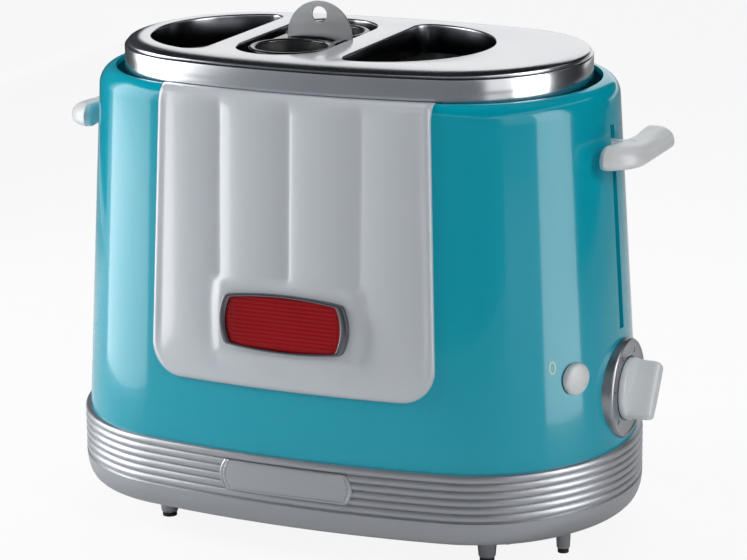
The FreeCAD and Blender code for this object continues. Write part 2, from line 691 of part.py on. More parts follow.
def wall_oval(level):
    """The shell's outer oval at a level between its foot and its shoulder."""
    share = (level - size.base_top) / (size.shoulder_level - size.base_top)
    return foot_oval.mixed(shoulder_oval, share)


def shell_solid(inset):
    """The shell's body, moved inwards all round and at the top."""
    sections = [(foot_oval, as_size(inset), size.base_top)]
    for turn in ROUND_TURNS:
        oval = shoulder_oval.mixed(rim_oval, 1 - cosine(turn))
        level = size.shoulder_level + (size.shoulder_rise - inset) * sine(turn)
        sections.append((oval, inset * cosine(turn), level))
    return loft(sections)


def shell_end(level):
    """How far the shell's end reaches from the middle at a level."""
    return wall_oval(level).half_length


floor_top = size.base_underside + size.base_floor
rim_level = size.shoulder_level + size.shoulder_rise
bead_foot = size.base_top - BEADS * size.bead_pitch
wall_slope = size.shell_taper_y / (size.shoulder_level - size.base_top)
wall_lean = math.degrees(math.atan(wall_slope.value))


def span(first, second):
    """Two lengths in rising order."""
    return sorted((as_size(first), as_size(second)), key=lambda length: length.value)


# ---------------------------------------------------------------------------
# Layout inside the shell
# ---------------------------------------------------------------------------
slot_radius = cover_half_depth - size.slot_edge
left_slot_end = cover_half_length - size.left_deck
right_slot_end = cover_half_length - size.right_deck
basket_well = slot_radius / 2
basket_well_end = slot_radius - size.well_edge - basket_well
hole_y = basket_well_end - size.hole_end_gap
hole_radius = hole_y - size.hole_half_gap
frame_y = slot_radius + size.frame_clear
frame_outer = frame_y + size.frame_sheet
frame_left = left_slot_end - size.frame_left_less
frame_right = right_slot_end + size.frame_right_over
frame_tab_right = right_slot_end - size.tab_right_less
end_plate_x = left_slot_end + size.end_plate_clear
left_guard_x = left_slot_end - size.left_guard_inset
rod_x = size.shell_half_length - size.rod_inset
carriage_end = rod_x + size.bush_half
carriage_y = frame_outer + size.carriage_clear
left_end_half = carriage_y - size.left_end_less
right_end_half = carriage_y - size.right_end_less
left_side_end = left_slot_end - size.left_side_less
right_side_end = frame_right + size.right_side_over
end_plate_half = left_end_half - size.end_plate_less
shield_y = carriage_y + size.shield_clear
shield_half = frame_right + size.shield_over
tray_half_depth = slot_radius - size.tray_short
tongue_reach = carriage_y - size.tongue_less
circuit_half = frame_y - size.circuit_less
inlet_x = size.shell_half_length - size.inlet_inset
terminal_x = inlet_x - size.terminal_step
terminal_y = size.shell_half_depth - size.terminal_inset
crumb_left = left_slot_end - size.crumb_left_less
crumb_right = right_slot_end - size.crumb_right_less
crumb_front = slot_radius - size.crumb_front_less
vent_first = frame_right + size.vent_step
foot_x = size.shell_half_length - size.foot_inset_x
foot_y = size.shell_half_depth - size.foot_inset_y
steady_x = size.shell_half_length - size.steady_inset


def corner_point(angle, inset):
    """A point on the foot oval's corner arc, at an angle from the long axis, moved inwards."""
    x, y = foot_oval.corner_centre()
    reach = foot_oval.corner - inset
    return x + reach * cosine(angle), y + reach * sine(angle)


post_left_x, post_left_y = corner_point(size.post_left_angle, size.post_inset)
post_right_x, post_right_y = corner_point(size.post_right_angle, size.post_inset)


# ---------------------------------------------------------------------------
# Base, feet and plaque
# ---------------------------------------------------------------------------
def plaque_solid(gap):
    """The space of the plaque, larger by a gap all round."""
    half_height = size.bead_pitch * size.plaque_beads / 2 + gap
    level = size.base_top - size.bead_pitch * (size.plaque_beads / 2 + 1)
    front = -(foot_oval.half_depth + size.base_overhang + over)
    outline = bowed_plate(size.plaque_half_width + gap, half_height, size.plaque_end_bow,
                          size.plaque_top_bow, (0, front, level), size.shell_half_depth / 2)
    skin = cut(prism(foot_oval, -size.base_overhang, size.base_underside, size.base_top),
               prism(foot_oval, size.plaque_depth - size.base_overhang, size.base_underside, size.base_top))
    return common(outline, skin)


post_places = [(-post_left_x, post_left_y), (-post_left_x, -post_left_y),
               (post_right_x, post_right_y), (post_right_x, -post_right_y)]
foot_places = [(foot_x * side, foot_y * depth) for side in (-1, 1) for depth in (-1, 1)]


def base_body():
    """The ribbed block of the base with its rounded skirt."""
    flush = -size.base_overhang
    rise = bead_foot - size.bead_edge - size.base_underside
    sections = []
    for turn in ROUND_TURNS:
        tuck = flush + size.skirt_tuck * (1 - sine(turn))
        sections.append((foot_oval, tuck, size.base_underside + rise * (1 - cosine(turn))))
    for index in range(BEADS):
        low = bead_foot + index * size.bead_pitch
        sections.append((foot_oval, flush + size.bead_depth, low))
        sections.append((foot_oval, flush, low + size.bead_edge))
        sections.append((foot_oval, flush, low + size.bead_pitch - size.bead_edge))
    sections.append((foot_oval, flush + size.bead_depth, size.base_top))
    return loft(sections)


base_block = base_body()


def base_housing():
    """Hollow base with its floor, ledge, feet and screw posts."""
    inner = size.bead_depth + size.base_wall - size.base_overhang
    ledge_low = size.base_top - size.ledge_depth
    body = cut(base_block,
               prism(foot_oval, inner, floor_top, ledge_low),
               prism(foot_oval, size.shell_wall + size.ledge_width, ledge_low, size.base_top + over))
    foot_height = floor_top - size.pad_height
    feet = [cone(size.foot_tip_radius, size.foot_top_radius, (x, y, size.pad_height), foot_height)
            for x, y in foot_places]
    feet.append(cone(size.steady_tip_radius, size.steady_top_radius,
                     (steady_x, -size.steady_y, size.pad_height), foot_height))
    posts = [rod(size.post_radius, (x, y, size.base_underside), size.base_top - size.base_underside)
             for x, y in post_places]
    holes = []
    for x, y in post_places:
        holes.append(rod(size.screw_radius + size.screw_fit, (x, y, 0), size.base_top + over))
        holes.append(rod(size.screw_head + size.screw_fit, (x, y, 0),
                         size.base_underside + size.screw_head_height))
    vents = []
    for index in range(VENTS):
        left = vent_first + index * size.vent_pitch
        half = size.vent_length / 2
        vents.append(box((left, -half, 0), (left + size.vent_width, half, floor_top)))
    inlet = rod(size.inlet_radius, (inlet_x, 0, size.inlet_level), size.shell_half_depth * 2, "y")
    opening = box((-crumb_left - size.crumb_clear, 0, floor_top),
                  (crumb_right + size.crumb_clear, size.shell_half_depth * 2,
                   floor_top + size.crumb_face_height + 2 * size.crumb_clear))
    node("base_housing", cut(fuse(body, *feet, *posts), *holes, *vents, inlet, opening,
                             plaque_solid(size.plaque_gap)))


def foot_pads():
    """Rubber pads under the feet."""
    pads = [rod(size.foot_tip_radius - size.pad_inset, (x, y, 0), size.pad_height) for x, y in foot_places]
    pads.append(rod(size.steady_tip_radius - size.pad_inset, (steady_x, -size.steady_y, 0), size.pad_height))
    node("foot_pads", group(*pads))


def base_screws():
    """Long screws from the underside into the shell's posts."""
    screws = []
    for x, y in post_places:
        head = rod(size.screw_head, (x, y, size.base_underside), size.screw_head_height)
        shank = rod(size.screw_radius, (x, y, size.base_underside), size.screw_length)
        screws.append(fuse(head, shank))
    node("base_screws", group(*screws))


# ---------------------------------------------------------------------------
# Shell, front panel and badge
# ---------------------------------------------------------------------------
dial_end = shell_end(size.dial_level)
button_oval = wall_oval(size.button_level)
button_cos = cosine(size.button_angle)
button_sin = sine(size.button_angle)
BUTTON_TURN = FreeCAD.Rotation(UP, FreeCAD.Vector(button_cos.value, -button_sin.value, 0))
BOX_TURN = FreeCAD.Rotation(UP, -size.button_angle.value)


def button_point(depth, side=0, level=0):
    """A point beside the stop button's axis, a depth behind the shell's face."""
    radius = button_oval.end_radius - depth
    x = button_oval.reach + radius * button_cos + side * button_sin
    y = side * button_cos - radius * button_sin
    return x, y, size.button_level + level


def button_rod(radius, depth, length):
    """A cylinder on the stop button's axis, from a depth behind the shell's face outwards."""
    thing = doc.addObject("Part::Cylinder", "Rod")
    bind(thing, "Radius", radius)
    bind(thing, "Height", length)
    return place(thing, button_point(depth), BUTTON_TURN)


def button_box(depth, thickness, low_side, high_side, low, high):
    """A box square to the stop button's axis, from a depth behind the shell's face outwards."""
    thing = doc.addObject("Part::Box", "Box")
    for prop, length in zip(("Length", "Width", "Height"),
                            (thickness, as_size(high_side) - low_side, as_size(high) - low)):
        bind(thing, prop, length)
    return place(thing, button_point(depth, low_side, low), BOX_TURN)


timer_face = dial_end - size.shell_wall - size.timer_seat
switch_face = size.button_sink + size.button_travel + size.switch_gap
switch_back = switch_face + size.switch_depth
shell_block = shell_solid(0)


def outer_shell():
    """Tapered oval shell with its turned-in rim, lever slots and openings for dial and button."""
    body = cut(shell_block, shell_solid(size.shell_wall),
               prism(rim_oval, 0, size.shoulder_level, rim_level + over))
    posts = [rod(size.post_radius, (x, y, size.base_top), size.post_height) for x, y in post_places]
    bosses = [rod(size.timer_boss_radius, (timer_face, size.timer_ear * side, size.dial_level),
                  size.timer_seat + size.shell_wall * 2, "x") for side in (-1, 1)]
    cup_depth = switch_back + size.switch_cup
    cup = button_rod(size.button_radius + size.button_clear + size.switch_cup, cup_depth, cup_depth)
    body = fuse(body, common(fuse(*posts, *bosses, cup), shell_block))
    slot_half = size.stem_half + size.slot_clear
    slots = []
    for side in (-1, 1):
        near, far = span(rod_x * side, size.shell_half_length * side)
        slots.append(box((near, -slot_half, size.stem_low - size.lift_travel - size.slot_under),
                         (far, slot_half, size.stem_high + size.slot_over)))
    holes = [rod(size.screw_radius, (x, y, size.base_top - over), size.post_height) for x, y in post_places]
    holes.append(rod(size.shaft_radius + size.shaft_hole_clear, (rod_x, 0, size.dial_level),
                     size.shell_half_length, "x"))
    holes.append(button_rod(size.button_radius + size.button_clear, switch_back, size.shell_half_depth))
    node("outer_shell", cut(body, *slots, *holes))


def panel_front(level):
    """Depth of the front panel's face at a level on the middle line."""
    return wall_oval(level).half_depth + size.panel_proud


def front_panel():
    """Fluted panel on the front of the shell, with a pad for the badge."""
    corner = size.panel_corner
    wide = size.panel_half_width
    near = -size.shell_half_depth * 2
    far = -size.shell_half_depth / 2
    top = rim_level + size.panel_proud * 2
    slim = size.panel_top_half_width
    bend = size.panel_bottom + corner
    upright = FreeCAD.Rotation(ALONG, 90)
    upper = polygon([(-wide, bend), (wide, bend), (slim, top), (-slim, top)], (0, near, 0), upright)
    outline = fuse(extrude(upper, far - near, BACK),
                   box((corner - wide, near, size.panel_bottom), (wide - corner, far, bend)),
                   *[rod(corner, ((wide - corner) * side, near, bend), far - near, "y") for side in (-1, 1)])
    skin = cut(shell_solid(-size.panel_proud), shell_block, prism(rim_oval, 0, size.shoulder_level, top))
    grooves = []
    for index in (-1, 0, 1):
        x = index * size.flute_spacing
        fall = x * x / (2 * foot_oval.front_radius)
        groove = doc.addObject("Part::Cylinder", "Groove")
        bind(groove, "Radius", size.flute_radius)
        bind(groove, "Height", size.flute_high - size.flute_low)
        depth = fall - panel_front(size.flute_low) - size.flute_radius + size.flute_depth
        grooves.append(place(groove, (x, depth, size.flute_low), FreeCAD.Rotation(ALONG, -wall_lean)))
    margin = size.badge_pad_margin
    pad = bowed_plate(size.badge_half_width + margin, size.badge_half_height + margin, size.badge_end_bow,
                      size.badge_top_bow, badge_point(0), size.panel_proud * 2, wall_lean)
    node("front_panel", fuse(cut(common(outline, skin), *grooves), cut(pad, shell_block)))


def badge_point(proud):
    """A point on the badge's axis, a distance in front of the panel's pad."""
    lean_length = root(1 + wall_slope * wall_slope)
    front = panel_front(size.badge_level) + size.badge_pad_proud
    return 0, -(front + proud / lean_length), size.badge_level + proud * wall_slope / lean_length


def badge_inside(sink, depth):
    """The space inside the badge frame's rim."""
    rim = size.badge_rim
    return bowed_plate(size.badge_half_width - rim, size.badge_half_height - rim, size.badge_end_bow,
                       size.badge_top_bow, badge_point(size.badge_depth - sink), depth, wall_lean)


def badge():
    """Bowed metal frame of the badge and the lens in it."""
    outer = bowed_plate(size.badge_half_width, size.badge_half_height, size.badge_end_bow, size.badge_top_bow,
                        badge_point(size.badge_depth), size.badge_depth, wall_lean)
    pocket = size.badge_depth - size.badge_floor
    node("badge_frame", cut(outer, badge_inside(as_size(0), pocket)))
    node("badge_lens", badge_inside(size.lens_sink, pocket - size.lens_sink))


# ---------------------------------------------------------------------------
# Top cover
# ---------------------------------------------------------------------------
collar_low = size.cover_top - size.collar_depth


def bun_slot(side, flat, end, grow, low, high):
    """The D-shaped space of a bun slot: flat towards the basket, round towards the body's end."""
    centre = side * (end - slot_radius)
    near, far = span(side * flat - side * grow, side * (end + grow))
    round_part = rod(slot_radius + grow, (centre, 0, low), high - low)
    straight = box((near, -slot_radius - grow, low), (far, slot_radius + grow, high))
    if (side * centre).value > flat.value:
        inner, outer = span(side * flat - side * grow, centre)
        half = slot_radius + grow
        round_part = fuse(round_part, box((inner, -half, low), (outer, half, high)))
    return common(round_part, straight)


def basket_space(grow, low, high):
    """The long space that the basket passes through."""
    half = basket_well + grow
    x = -size.basket_x
    ends = [rod(half, (x, basket_well_end * side, low), high - low) for side in (-1, 1)]
    return fuse(box((x - half, -basket_well_end, low), (x + half, basket_well_end, high)), *ends)


def openings(grow, low, high):
    """The three openings of the top cover."""
    return [bun_slot(-1, size.left_slot_flat, left_slot_end, grow, low, high),
            basket_space(grow, low, high),
            bun_slot(1, size.right_slot_flat, right_slot_end, grow, low, high)]


def cover_solid(inset, low):
    """The cover's body from a level up, moved inwards all round and at the top."""
    band = size.cover_gap + inset
    crease = size.crease_level - inset
    shoulder_low = crease + size.crease_height
    sections = [(rim_oval, band, low), (rim_oval, band, crease),
                (rim_oval, band + size.crease_depth, crease + size.crease_height / 2)]
    edge = Oval(rim_oval.half_length - size.cover_gap - size.crease_step_x,
                rim_oval.half_depth - size.cover_gap - size.crease_step_y,
                size.shoulder_bow_front, shoulder_bow_end, shoulder_corner - size.cover_gap)
    for turn in ROUND_TURNS:
        level = shoulder_low + (size.cover_top - inset - shoulder_low) * sine(turn)
        sections.append((edge.mixed(plate_oval, 1 - cosine(turn)), inset, level))
    return loft(sections)


cover_block = cover_solid(as_size(0), size.cover_low)
cover_inside = cover_solid(size.cover_sheet, size.cover_low - over)


def top_cover():
    """Pressed steel cover with collars turned down round its openings."""
    skins = openings(size.cover_sheet, collar_low, size.cover_top)
    collars = [common(skin, cover_block) for skin in skins]
    node("top_cover", cut(fuse(cut(cover_block, cover_inside), *collars),
                          *openings(0, collar_low - over, size.cover_top + over)))


# ---------------------------------------------------------------------------
# Inner frames, heaters and guards
# ---------------------------------------------------------------------------
left_tray_x = -(size.left_slot_flat + left_slot_end) / 2
right_tray_x = (size.right_slot_flat + right_slot_end) / 2
tray_places = (left_tray_x, -size.basket_x, right_tray_x)
tongue_space = size.tongue_half + size.tongue_clear


def frame_plate():
    """The frame behind the wells, with slots for the trays' tongues."""
    left, right = -frame_left, frame_right
    plate = fuse(box((left, frame_y, floor_top), (right, frame_outer, size.frame_shoulder)),
                 box((-size.frame_tab_left, frame_y, size.frame_shoulder - over),
                     (frame_tab_right, frame_outer, size.cover_top)))
    near, far = frame_y - over, frame_outer + over
    slots = [box((x - tongue_space, near, size.frame_slot_low),
                 (x + tongue_space, far, size.frame_slot_high)) for x in tray_places]
    above = cut(box((left, near, size.frame_shoulder), (right, far, size.cover_top + over)), cover_inside)
    return cut(plate, *slots, above)


def frames():
    """Front and back frame; the back one stands clear over the crumb tray."""
    plate = frame_plate()
    node("frame_front", mirrored(plate, BACK))
    gap = box((-crumb_left - size.crumb_clear, frame_y - over, size.base_underside),
              (crumb_right + size.crumb_clear, frame_outer + over,
               floor_top + size.crumb_wall + 3 * size.crumb_clear))
    node("frame_back", cut(plate, gap))


def end_plates():
    """Upright plates at both ends, each with an arm that holds a guide rod."""
    inner = -end_plate_x
    outer = inner - size.frame_sheet
    half = end_plate_half
    top = size.end_plate_top
    arm_top = top + size.bracket_sheet
    flanges = [box((inner, low, floor_top), (inner + size.end_plate_flange, low + size.frame_sheet, top))
               for low in (-half, half - size.frame_sheet)]
    left = fuse(box((outer, -half, floor_top), (inner, half, top)), *flanges,
                box((-rod_x - size.bracket_half, -size.bracket_half, top),
                    (inner, size.bracket_half, arm_top)))
    right = fuse(box((frame_right, -frame_outer, floor_top),
                     (frame_right + size.frame_sheet, frame_outer, top)),
                 box((frame_right, -size.bracket_half, top),
                     (rod_x + size.bracket_half, size.bracket_half, arm_top)))
    node("end_plate_left", cut(left, rod(size.rod_radius, (-rod_x, 0, size.base_underside), size.cover_top)))
    node("end_plate_right", cut(right, rod(size.rod_radius, (rod_x, 0, size.base_underside), size.cover_top)))


left_inner_board = -(size.left_slot_flat + size.basket_x + basket_well) / 2 - size.board_sheet / 2
right_inner_board = (size.right_slot_flat - size.basket_x + basket_well) / 2 - size.board_sheet / 2
boards = [("left_outer", -(left_slot_end + size.board_clear) - size.board_sheet,
           end_plate_half - size.frame_sheet),
          ("left_inner", left_inner_board, frame_y),
          ("right_inner", right_inner_board, frame_y),
          ("right_outer", right_slot_end + size.board_clear, frame_y)]


def heaters():
    """Mica boards beside the wells and the flat heating ribbon on both their faces."""
    ribbons = []
    for name, x, half in boards:
        board = box((x, -half, size.board_low), (x + size.board_sheet, half, size.board_high))
        node(f"heater_board_{name}", board)
        reach = half - size.ribbon_margin
        first = size.board_low + size.ribbon_margin
        last = size.board_high - size.ribbon_margin - size.ribbon_height
        for start in (x - size.ribbon_sheet, x + size.board_sheet):
            end = start + size.ribbon_sheet
            strips = []
            for index in range(RIBBON_ROWS):
                low = first + (last - first) * index / (RIBBON_ROWS - 1)
                strips.append(box((start, -reach, low), (end, reach, low + size.ribbon_height)))
            bars = [box((start, side, first), (end, side + size.ribbon_height, last + size.ribbon_height))
                    for side in (-reach, reach - size.ribbon_height)]
            ribbons.append(fuse(*strips, *bars))
    node("heating_ribbons", group(*ribbons))


def guard(name, x, half, first, count):
    """Upright guard wires between two cross wires."""
    wires = [rod(size.wire_radius, (x, size.wire_step * (first + index), size.guard_low),
                 size.guard_high - size.guard_low) for index in range(count)]
    bars = [rod(size.cross_wire_radius, (x, -half, level), half * 2, "y")
            for level in (size.guard_low, size.guard_high)]
    node(f"guard_{name}", fuse(*wires, *bars))


def guards():
    """Wire guards that keep the buns off the heaters."""
    guard("left_outer", -left_guard_x, end_plate_half - size.frame_sheet, -1, 3)
    guard("left_inner", -(size.left_slot_flat + size.wire_inset), frame_y, -2, 5)
    guard("right_inner", size.right_slot_flat + size.wire_inset, frame_y, -2, 5)
    guard("right_outer", right_slot_end - size.wire_inset, frame_y, -1, 3)


def heat_shields():
    """Thin shields between the frames and the shell, hung on the frames by their flanges."""
    half = shield_half
    outer = shield_y + size.shield_sheet
    back = fuse(box((-half, shield_y, size.shield_low), (half, outer, size.shield_top)),
                box((-half, frame_outer, size.shield_top - size.shield_sheet), (half, outer, size.shield_top)))
    node("heat_shield_back", back)
    node("heat_shield_front", mirrored(back, BACK))


# ---------------------------------------------------------------------------
# Lift carriage
# ---------------------------------------------------------------------------
frame_low = size.carriage_top - size.carriage_sheet
bush_top = size.bush_low + size.bush_height
riser_inner = rod_x + size.bush_half - size.riser_sheet
riser_outer = rod_x + size.bush_half
handle_end = size.shell_half_length + size.handle_over
SIDES = {"left": -1, "right": 1}


def carriage_frame():
    """Flat ring that carries the trays and runs round the inner frames."""
    end, strip, slant = carriage_end, size.carriage_strip, size.carriage_slant
    left_side, right_side = left_side_end, right_side_end
    wide = carriage_y
    inner_wide = wide - strip
    left_slope = (end - left_side) / (wide - left_end_half)
    right_slope = (end - right_side) / (wide - right_end_half)
    left_x = left_side + strip * left_slope - slant
    right_x = right_side + strip * right_slope - slant
    left_y = wide - (end - strip + slant - left_side) / left_slope
    right_y = wide - (end - size.right_end_strip + slant - right_side) / right_slope
    outer = [(-end, -left_end_half), (-left_side, -wide), (right_side, -wide), (end, -right_end_half),
             (end, right_end_half), (right_side, wide), (-left_side, wide), (-end, left_end_half)]
    inner = [(strip - end, -left_y), (-left_x, -inner_wide), (right_x, -inner_wide),
             (end - size.right_end_strip, -right_y), (end - size.right_end_strip, right_y),
             (right_x, inner_wide), (-left_x, inner_wide), (strip - end, left_y)]
    ring = cut(extrude(polygon(outer, (0, 0, frame_low)), size.carriage_sheet),
               extrude(polygon(inner, (0, 0, frame_low - over)), size.carriage_sheet + 2 * over))
    eyes = [rod(size.eye_radius, (rod_x * side, 0, frame_low), size.carriage_sheet) for side in SIDES.values()]
    holes = [rod(size.eye_hole, (rod_x * side, 0, frame_low - over), size.carriage_sheet + 2 * over)
             for side in SIDES.values()]
    node("carriage_frame", cut(fuse(ring, *eyes), *holes))


def tray(name, top_view, x, half):
    """A tray over its well, with a tongue at each end that rests on the carriage frame."""
    low = size.carriage_top
    high = low + size.tray_sheet
    plate = common(top_view, box((x - half, -tray_half_depth, low), (x + half, tray_half_depth, high)))
    tongue = box((x - size.tongue_half, -tongue_reach, low), (x + size.tongue_half, tongue_reach, high))
    node(name, fuse(plate, tongue))


def trays():
    """The two bun trays and the tray under the basket."""
    low = size.carriage_top
    high = low + size.tray_sheet
    margin = -size.tray_clear
    tray("bun_tray_left", bun_slot(-1, size.left_slot_flat, left_slot_end, margin, low, high),
         left_tray_x, slot_radius)
    tray("basket_tray", basket_space(margin, low, high), -size.basket_x, basket_well)
    tray("bun_tray_right", bun_slot(1, size.right_slot_flat, right_slot_end, margin, low, high),
         right_tray_x, slot_radius)


def lever_solid(mirror):
    """A riser from the carriage frame with the stem of a lever."""
    riser = box((riser_inner, -size.riser_half, size.carriage_top),
                (riser_outer, size.riser_half, bush_top + size.riser_over))
    stem = box((riser_outer, -size.stem_half, size.stem_low),
               (handle_inner + size.handle_socket, size.stem_half, size.stem_high))
    lever = fuse(riser, stem)
    return mirrored(lever, ALONG) if mirror else lever


def handle_solid(mirror):
    """A lever handle: a swept-back paddle with a sloping outer edge and a socket for the stem."""
    low, high = size.handle_low, size.handle_low + size.handle_height
    near, far = size.handle_shift - size.handle_half, size.handle_shift + size.handle_half
    bend, corner = size.handle_bend, size.handle_corner
    inside = handle_end - 2 * bend
    outline = fuse(box((inside, near + bend, low), (handle_end, far - corner, high)),
                   box((inside, near + bend, low), (handle_end - corner, far, high)),
                   rod(bend, (handle_end - bend, near + bend, low), size.handle_height),
                   rod(corner, (handle_end - corner, far - corner, low), size.handle_height))
    hook = handle_inner - size.handle_hook
    reach = fuse(box((handle_inner, near, low), (handle_end, far, high)),
                 box((hook, near, low), (handle_end, near + size.handle_hook_length, high)))
    edge = handle_end - size.handle_slope_width
    foot = high - size.handle_slope_height
    beyond, above = handle_end + over, high + over
    wedge = polygon([(edge, high), (handle_end, foot), (beyond, foot), (beyond, above), (edge, above)],
                    (0, near, 0), FreeCAD.Rotation(ALONG, 90))
    lowered = wall_oval(low - size.lift_travel)
    bar = cut(common(outline, reach), extrude(wedge, far - near, BACK),
              prism(lowered, -size.handle_clear, low, high),
              box((handle_inner, -size.stem_half, size.stem_low),
                  (handle_inner + size.handle_socket, size.stem_half, size.stem_high)))
    return mirrored(bar, ALONG) if mirror else bar


handle_inner = shell_end(size.handle_low - size.lift_travel) + size.handle_clear


def lift():
    """Bushes, levers, handles, guide rods and return springs."""
    bushes, rods, seats = [], [], []
    for name, side in SIDES.items():
        x = rod_x * side
        near, far = span(side * (rod_x - size.bush_back), side * riser_inner)
        bushes.append(cut(box((near, -size.bush_half, size.bush_low), (far, size.bush_half, bush_top)),
                          rod(size.rod_radius + size.rod_fit, (x, 0, size.bush_low), size.bush_height)))
        rods.append(rod(size.rod_radius, (x, 0, floor_top), size.rod_top - floor_top))
        seats.append(tube(size.spring_radius + size.spring_wire, size.rod_radius, (x, 0, floor_top),
                          size.spring_foot - floor_top))
        node(f"lever_{name}", lever_solid(side < 0))
        node(f"lever_handle_{name}", handle_solid(side < 0))
        node(f"return_spring_{name}", spring(x))
    node("lift_bushes", group(*bushes))
    node("guide_rods", group(*rods))
    node("spring_seats", group(*seats))


def spring(x):
    """A return spring round a guide rod."""
    height = size.bush_low - size.spring_foot - 2 * size.spring_wire
    path = Part.makeHelix(size.spring_pitch.value, height.value, size.spring_radius.value)
    start = FreeCAD.Vector(size.spring_radius.value, 0, 0)
    section = Part.Wire(Part.makeCircle(size.spring_wire.value, start, BACK))
    coil = doc.addObject("Part::Feature", "Spring")
    coil.Shape = Part.Wire(path).makePipeShell([section], True, True)
    return place(coil, (x, 0, size.spring_foot + size.spring_wire))


def latch():
    """Armature on the carriage frame and the magnet that holds it down."""
    x, y = rod_x, size.magnet_y
    half = size.armature_side / 2
    armature_low = frame_low - size.armature_sheet
    node("armature", box((x - half, y - half, armature_low), (x + half, y + half, frame_low)))
    magnet_top = armature_low - size.lift_travel - size.magnet_gap
    outer = size.magnet_side / 2
    core = outer - size.coil_wall
    foot_top = floor_top + size.magnet_foot
    node("latch_magnet", fuse(box((x - outer, y - outer, floor_top), (x + outer, y + outer, foot_top)),
                              box((x - core, y - core, foot_top), (x + core, y + core, magnet_top))))
    coil_top = magnet_top - size.coil_wall / 2
    node("latch_coil", cut(box((x - outer, y - outer, foot_top), (x + outer, y + outer, coil_top)),
                           box((x - core, y - core, foot_top), (x + core, y + core, coil_top))))


# ---------------------------------------------------------------------------
# Sausage basket
# ---------------------------------------------------------------------------
basket_low = size.carriage_top + size.tray_sheet + size.basket_seat
basket_under = size.basket_top - size.basket_sheet
basket_centre = size.basket_shift - size.basket_x
hole_places = {"front": -hole_y, "rear": hole_y}


def basket_outline(low, high, bridge):
    """Two discs joined by a bridge."""
    x = basket_centre
    discs = [rod(hole_radius + size.ring_width, (x, y, low), high - low) for y in hole_places.values()]
    return fuse(*discs, box((x - bridge, -size.bridge_depth, low), (x + bridge, size.bridge_depth, high)))


def basket():
    """Lift-out basket: plate with two holes, two windowed tubes, a floor and a tab."""
    x = basket_centre
    plate = basket_outline(basket_under, size.basket_top, size.bridge_half)
    floor = basket_outline(basket_low, basket_low + size.basket_sheet, size.bridge_half)
    through = size.basket_sheet + 2 * over
    holes = [rod(hole_radius, (x, y, basket_under - over), through) for y in hole_places.values()]
    node("basket_plate", cut(plate, *holes))
    drains = [rod(size.window_width / 2, (x, y, basket_low - over), through) for y in hole_places.values()]
    node("basket_floor", cut(floor, *drains))
    tube_low = basket_low + size.basket_sheet
    outer = hole_radius + size.basket_sheet
    half = size.window_width / 2
    low, high = tube_low + size.window_low, basket_under - size.window_high
    for name, y in hole_places.items():
        wall = tube(outer, hole_radius, (x, y, tube_low), basket_under - tube_low)
        windows = [box((x - half, y - outer, low), (x + half, y + outer, high)),
                   box((x - outer, y - half, low), (x + outer, y + half, high))]
        node(f"basket_tube_{name}", cut(wall, *windows))
    node("basket_tab", basket_tab())


def basket_tab():
    """Half-round tab with a hole, for lifting the basket."""
    x, y, low = -size.tab_x, size.tab_y, size.basket_top
    centre = low + size.tab_foot
    disc = rod(size.tab_radius, (x, y, centre), size.tab_sheet, "y")
    left, right, far = x - size.tab_radius, x + size.tab_radius, y + size.tab_sheet
    upper = box((left, y, centre), (right, far, centre + size.tab_radius))
    foot = box((left, y, low), (right, far, centre))
    hole = rod(size.tab_hole_radius, (x, y - over, low + size.tab_hole_rise), size.tab_sheet + 2 * over, "y")
    return cut(fuse(common(disc, upper), foot), hole)


# ---------------------------------------------------------------------------
# Electronics
# ---------------------------------------------------------------------------
def electronics():
    """Circuit board on standoffs, its parts, and the terminal block by the cord inlet."""
    plate = frame_right + size.frame_sheet
    face = plate + size.board_gap
    top = face + size.circuit_sheet
    half = circuit_half
    node("circuit_board", box((face, -half, size.circuit_low), (top, half, size.circuit_high)))
    inset = size.standoff_inset
    node("standoffs", group(*[rod(size.standoff_radius, (plate, y, z), size.board_gap, "x")
                              for y in (inset - half, half - inset)
                              for z in (size.circuit_low + inset, size.circuit_high - inset)]))
    level = size.circuit_low + half / 2
    node("relay", box((top, -half / 2, level),
                      (top + size.relay_side, size.relay_side - half / 2, level + size.relay_length)))
    high = size.circuit_high - half / 2
    node("capacitors", group(*[rod(size.capacitor_radius, (top, side * size.capacitor_radius * 2, high),
                                   size.capacitor_length, "x") for side in (-1, 1)]))
    node("terminal_block", box((terminal_x, terminal_y - size.terminal_depth / 2, floor_top),
                               (terminal_x + size.terminal_length, terminal_y + size.terminal_depth / 2,
                                floor_top + size.terminal_height)))


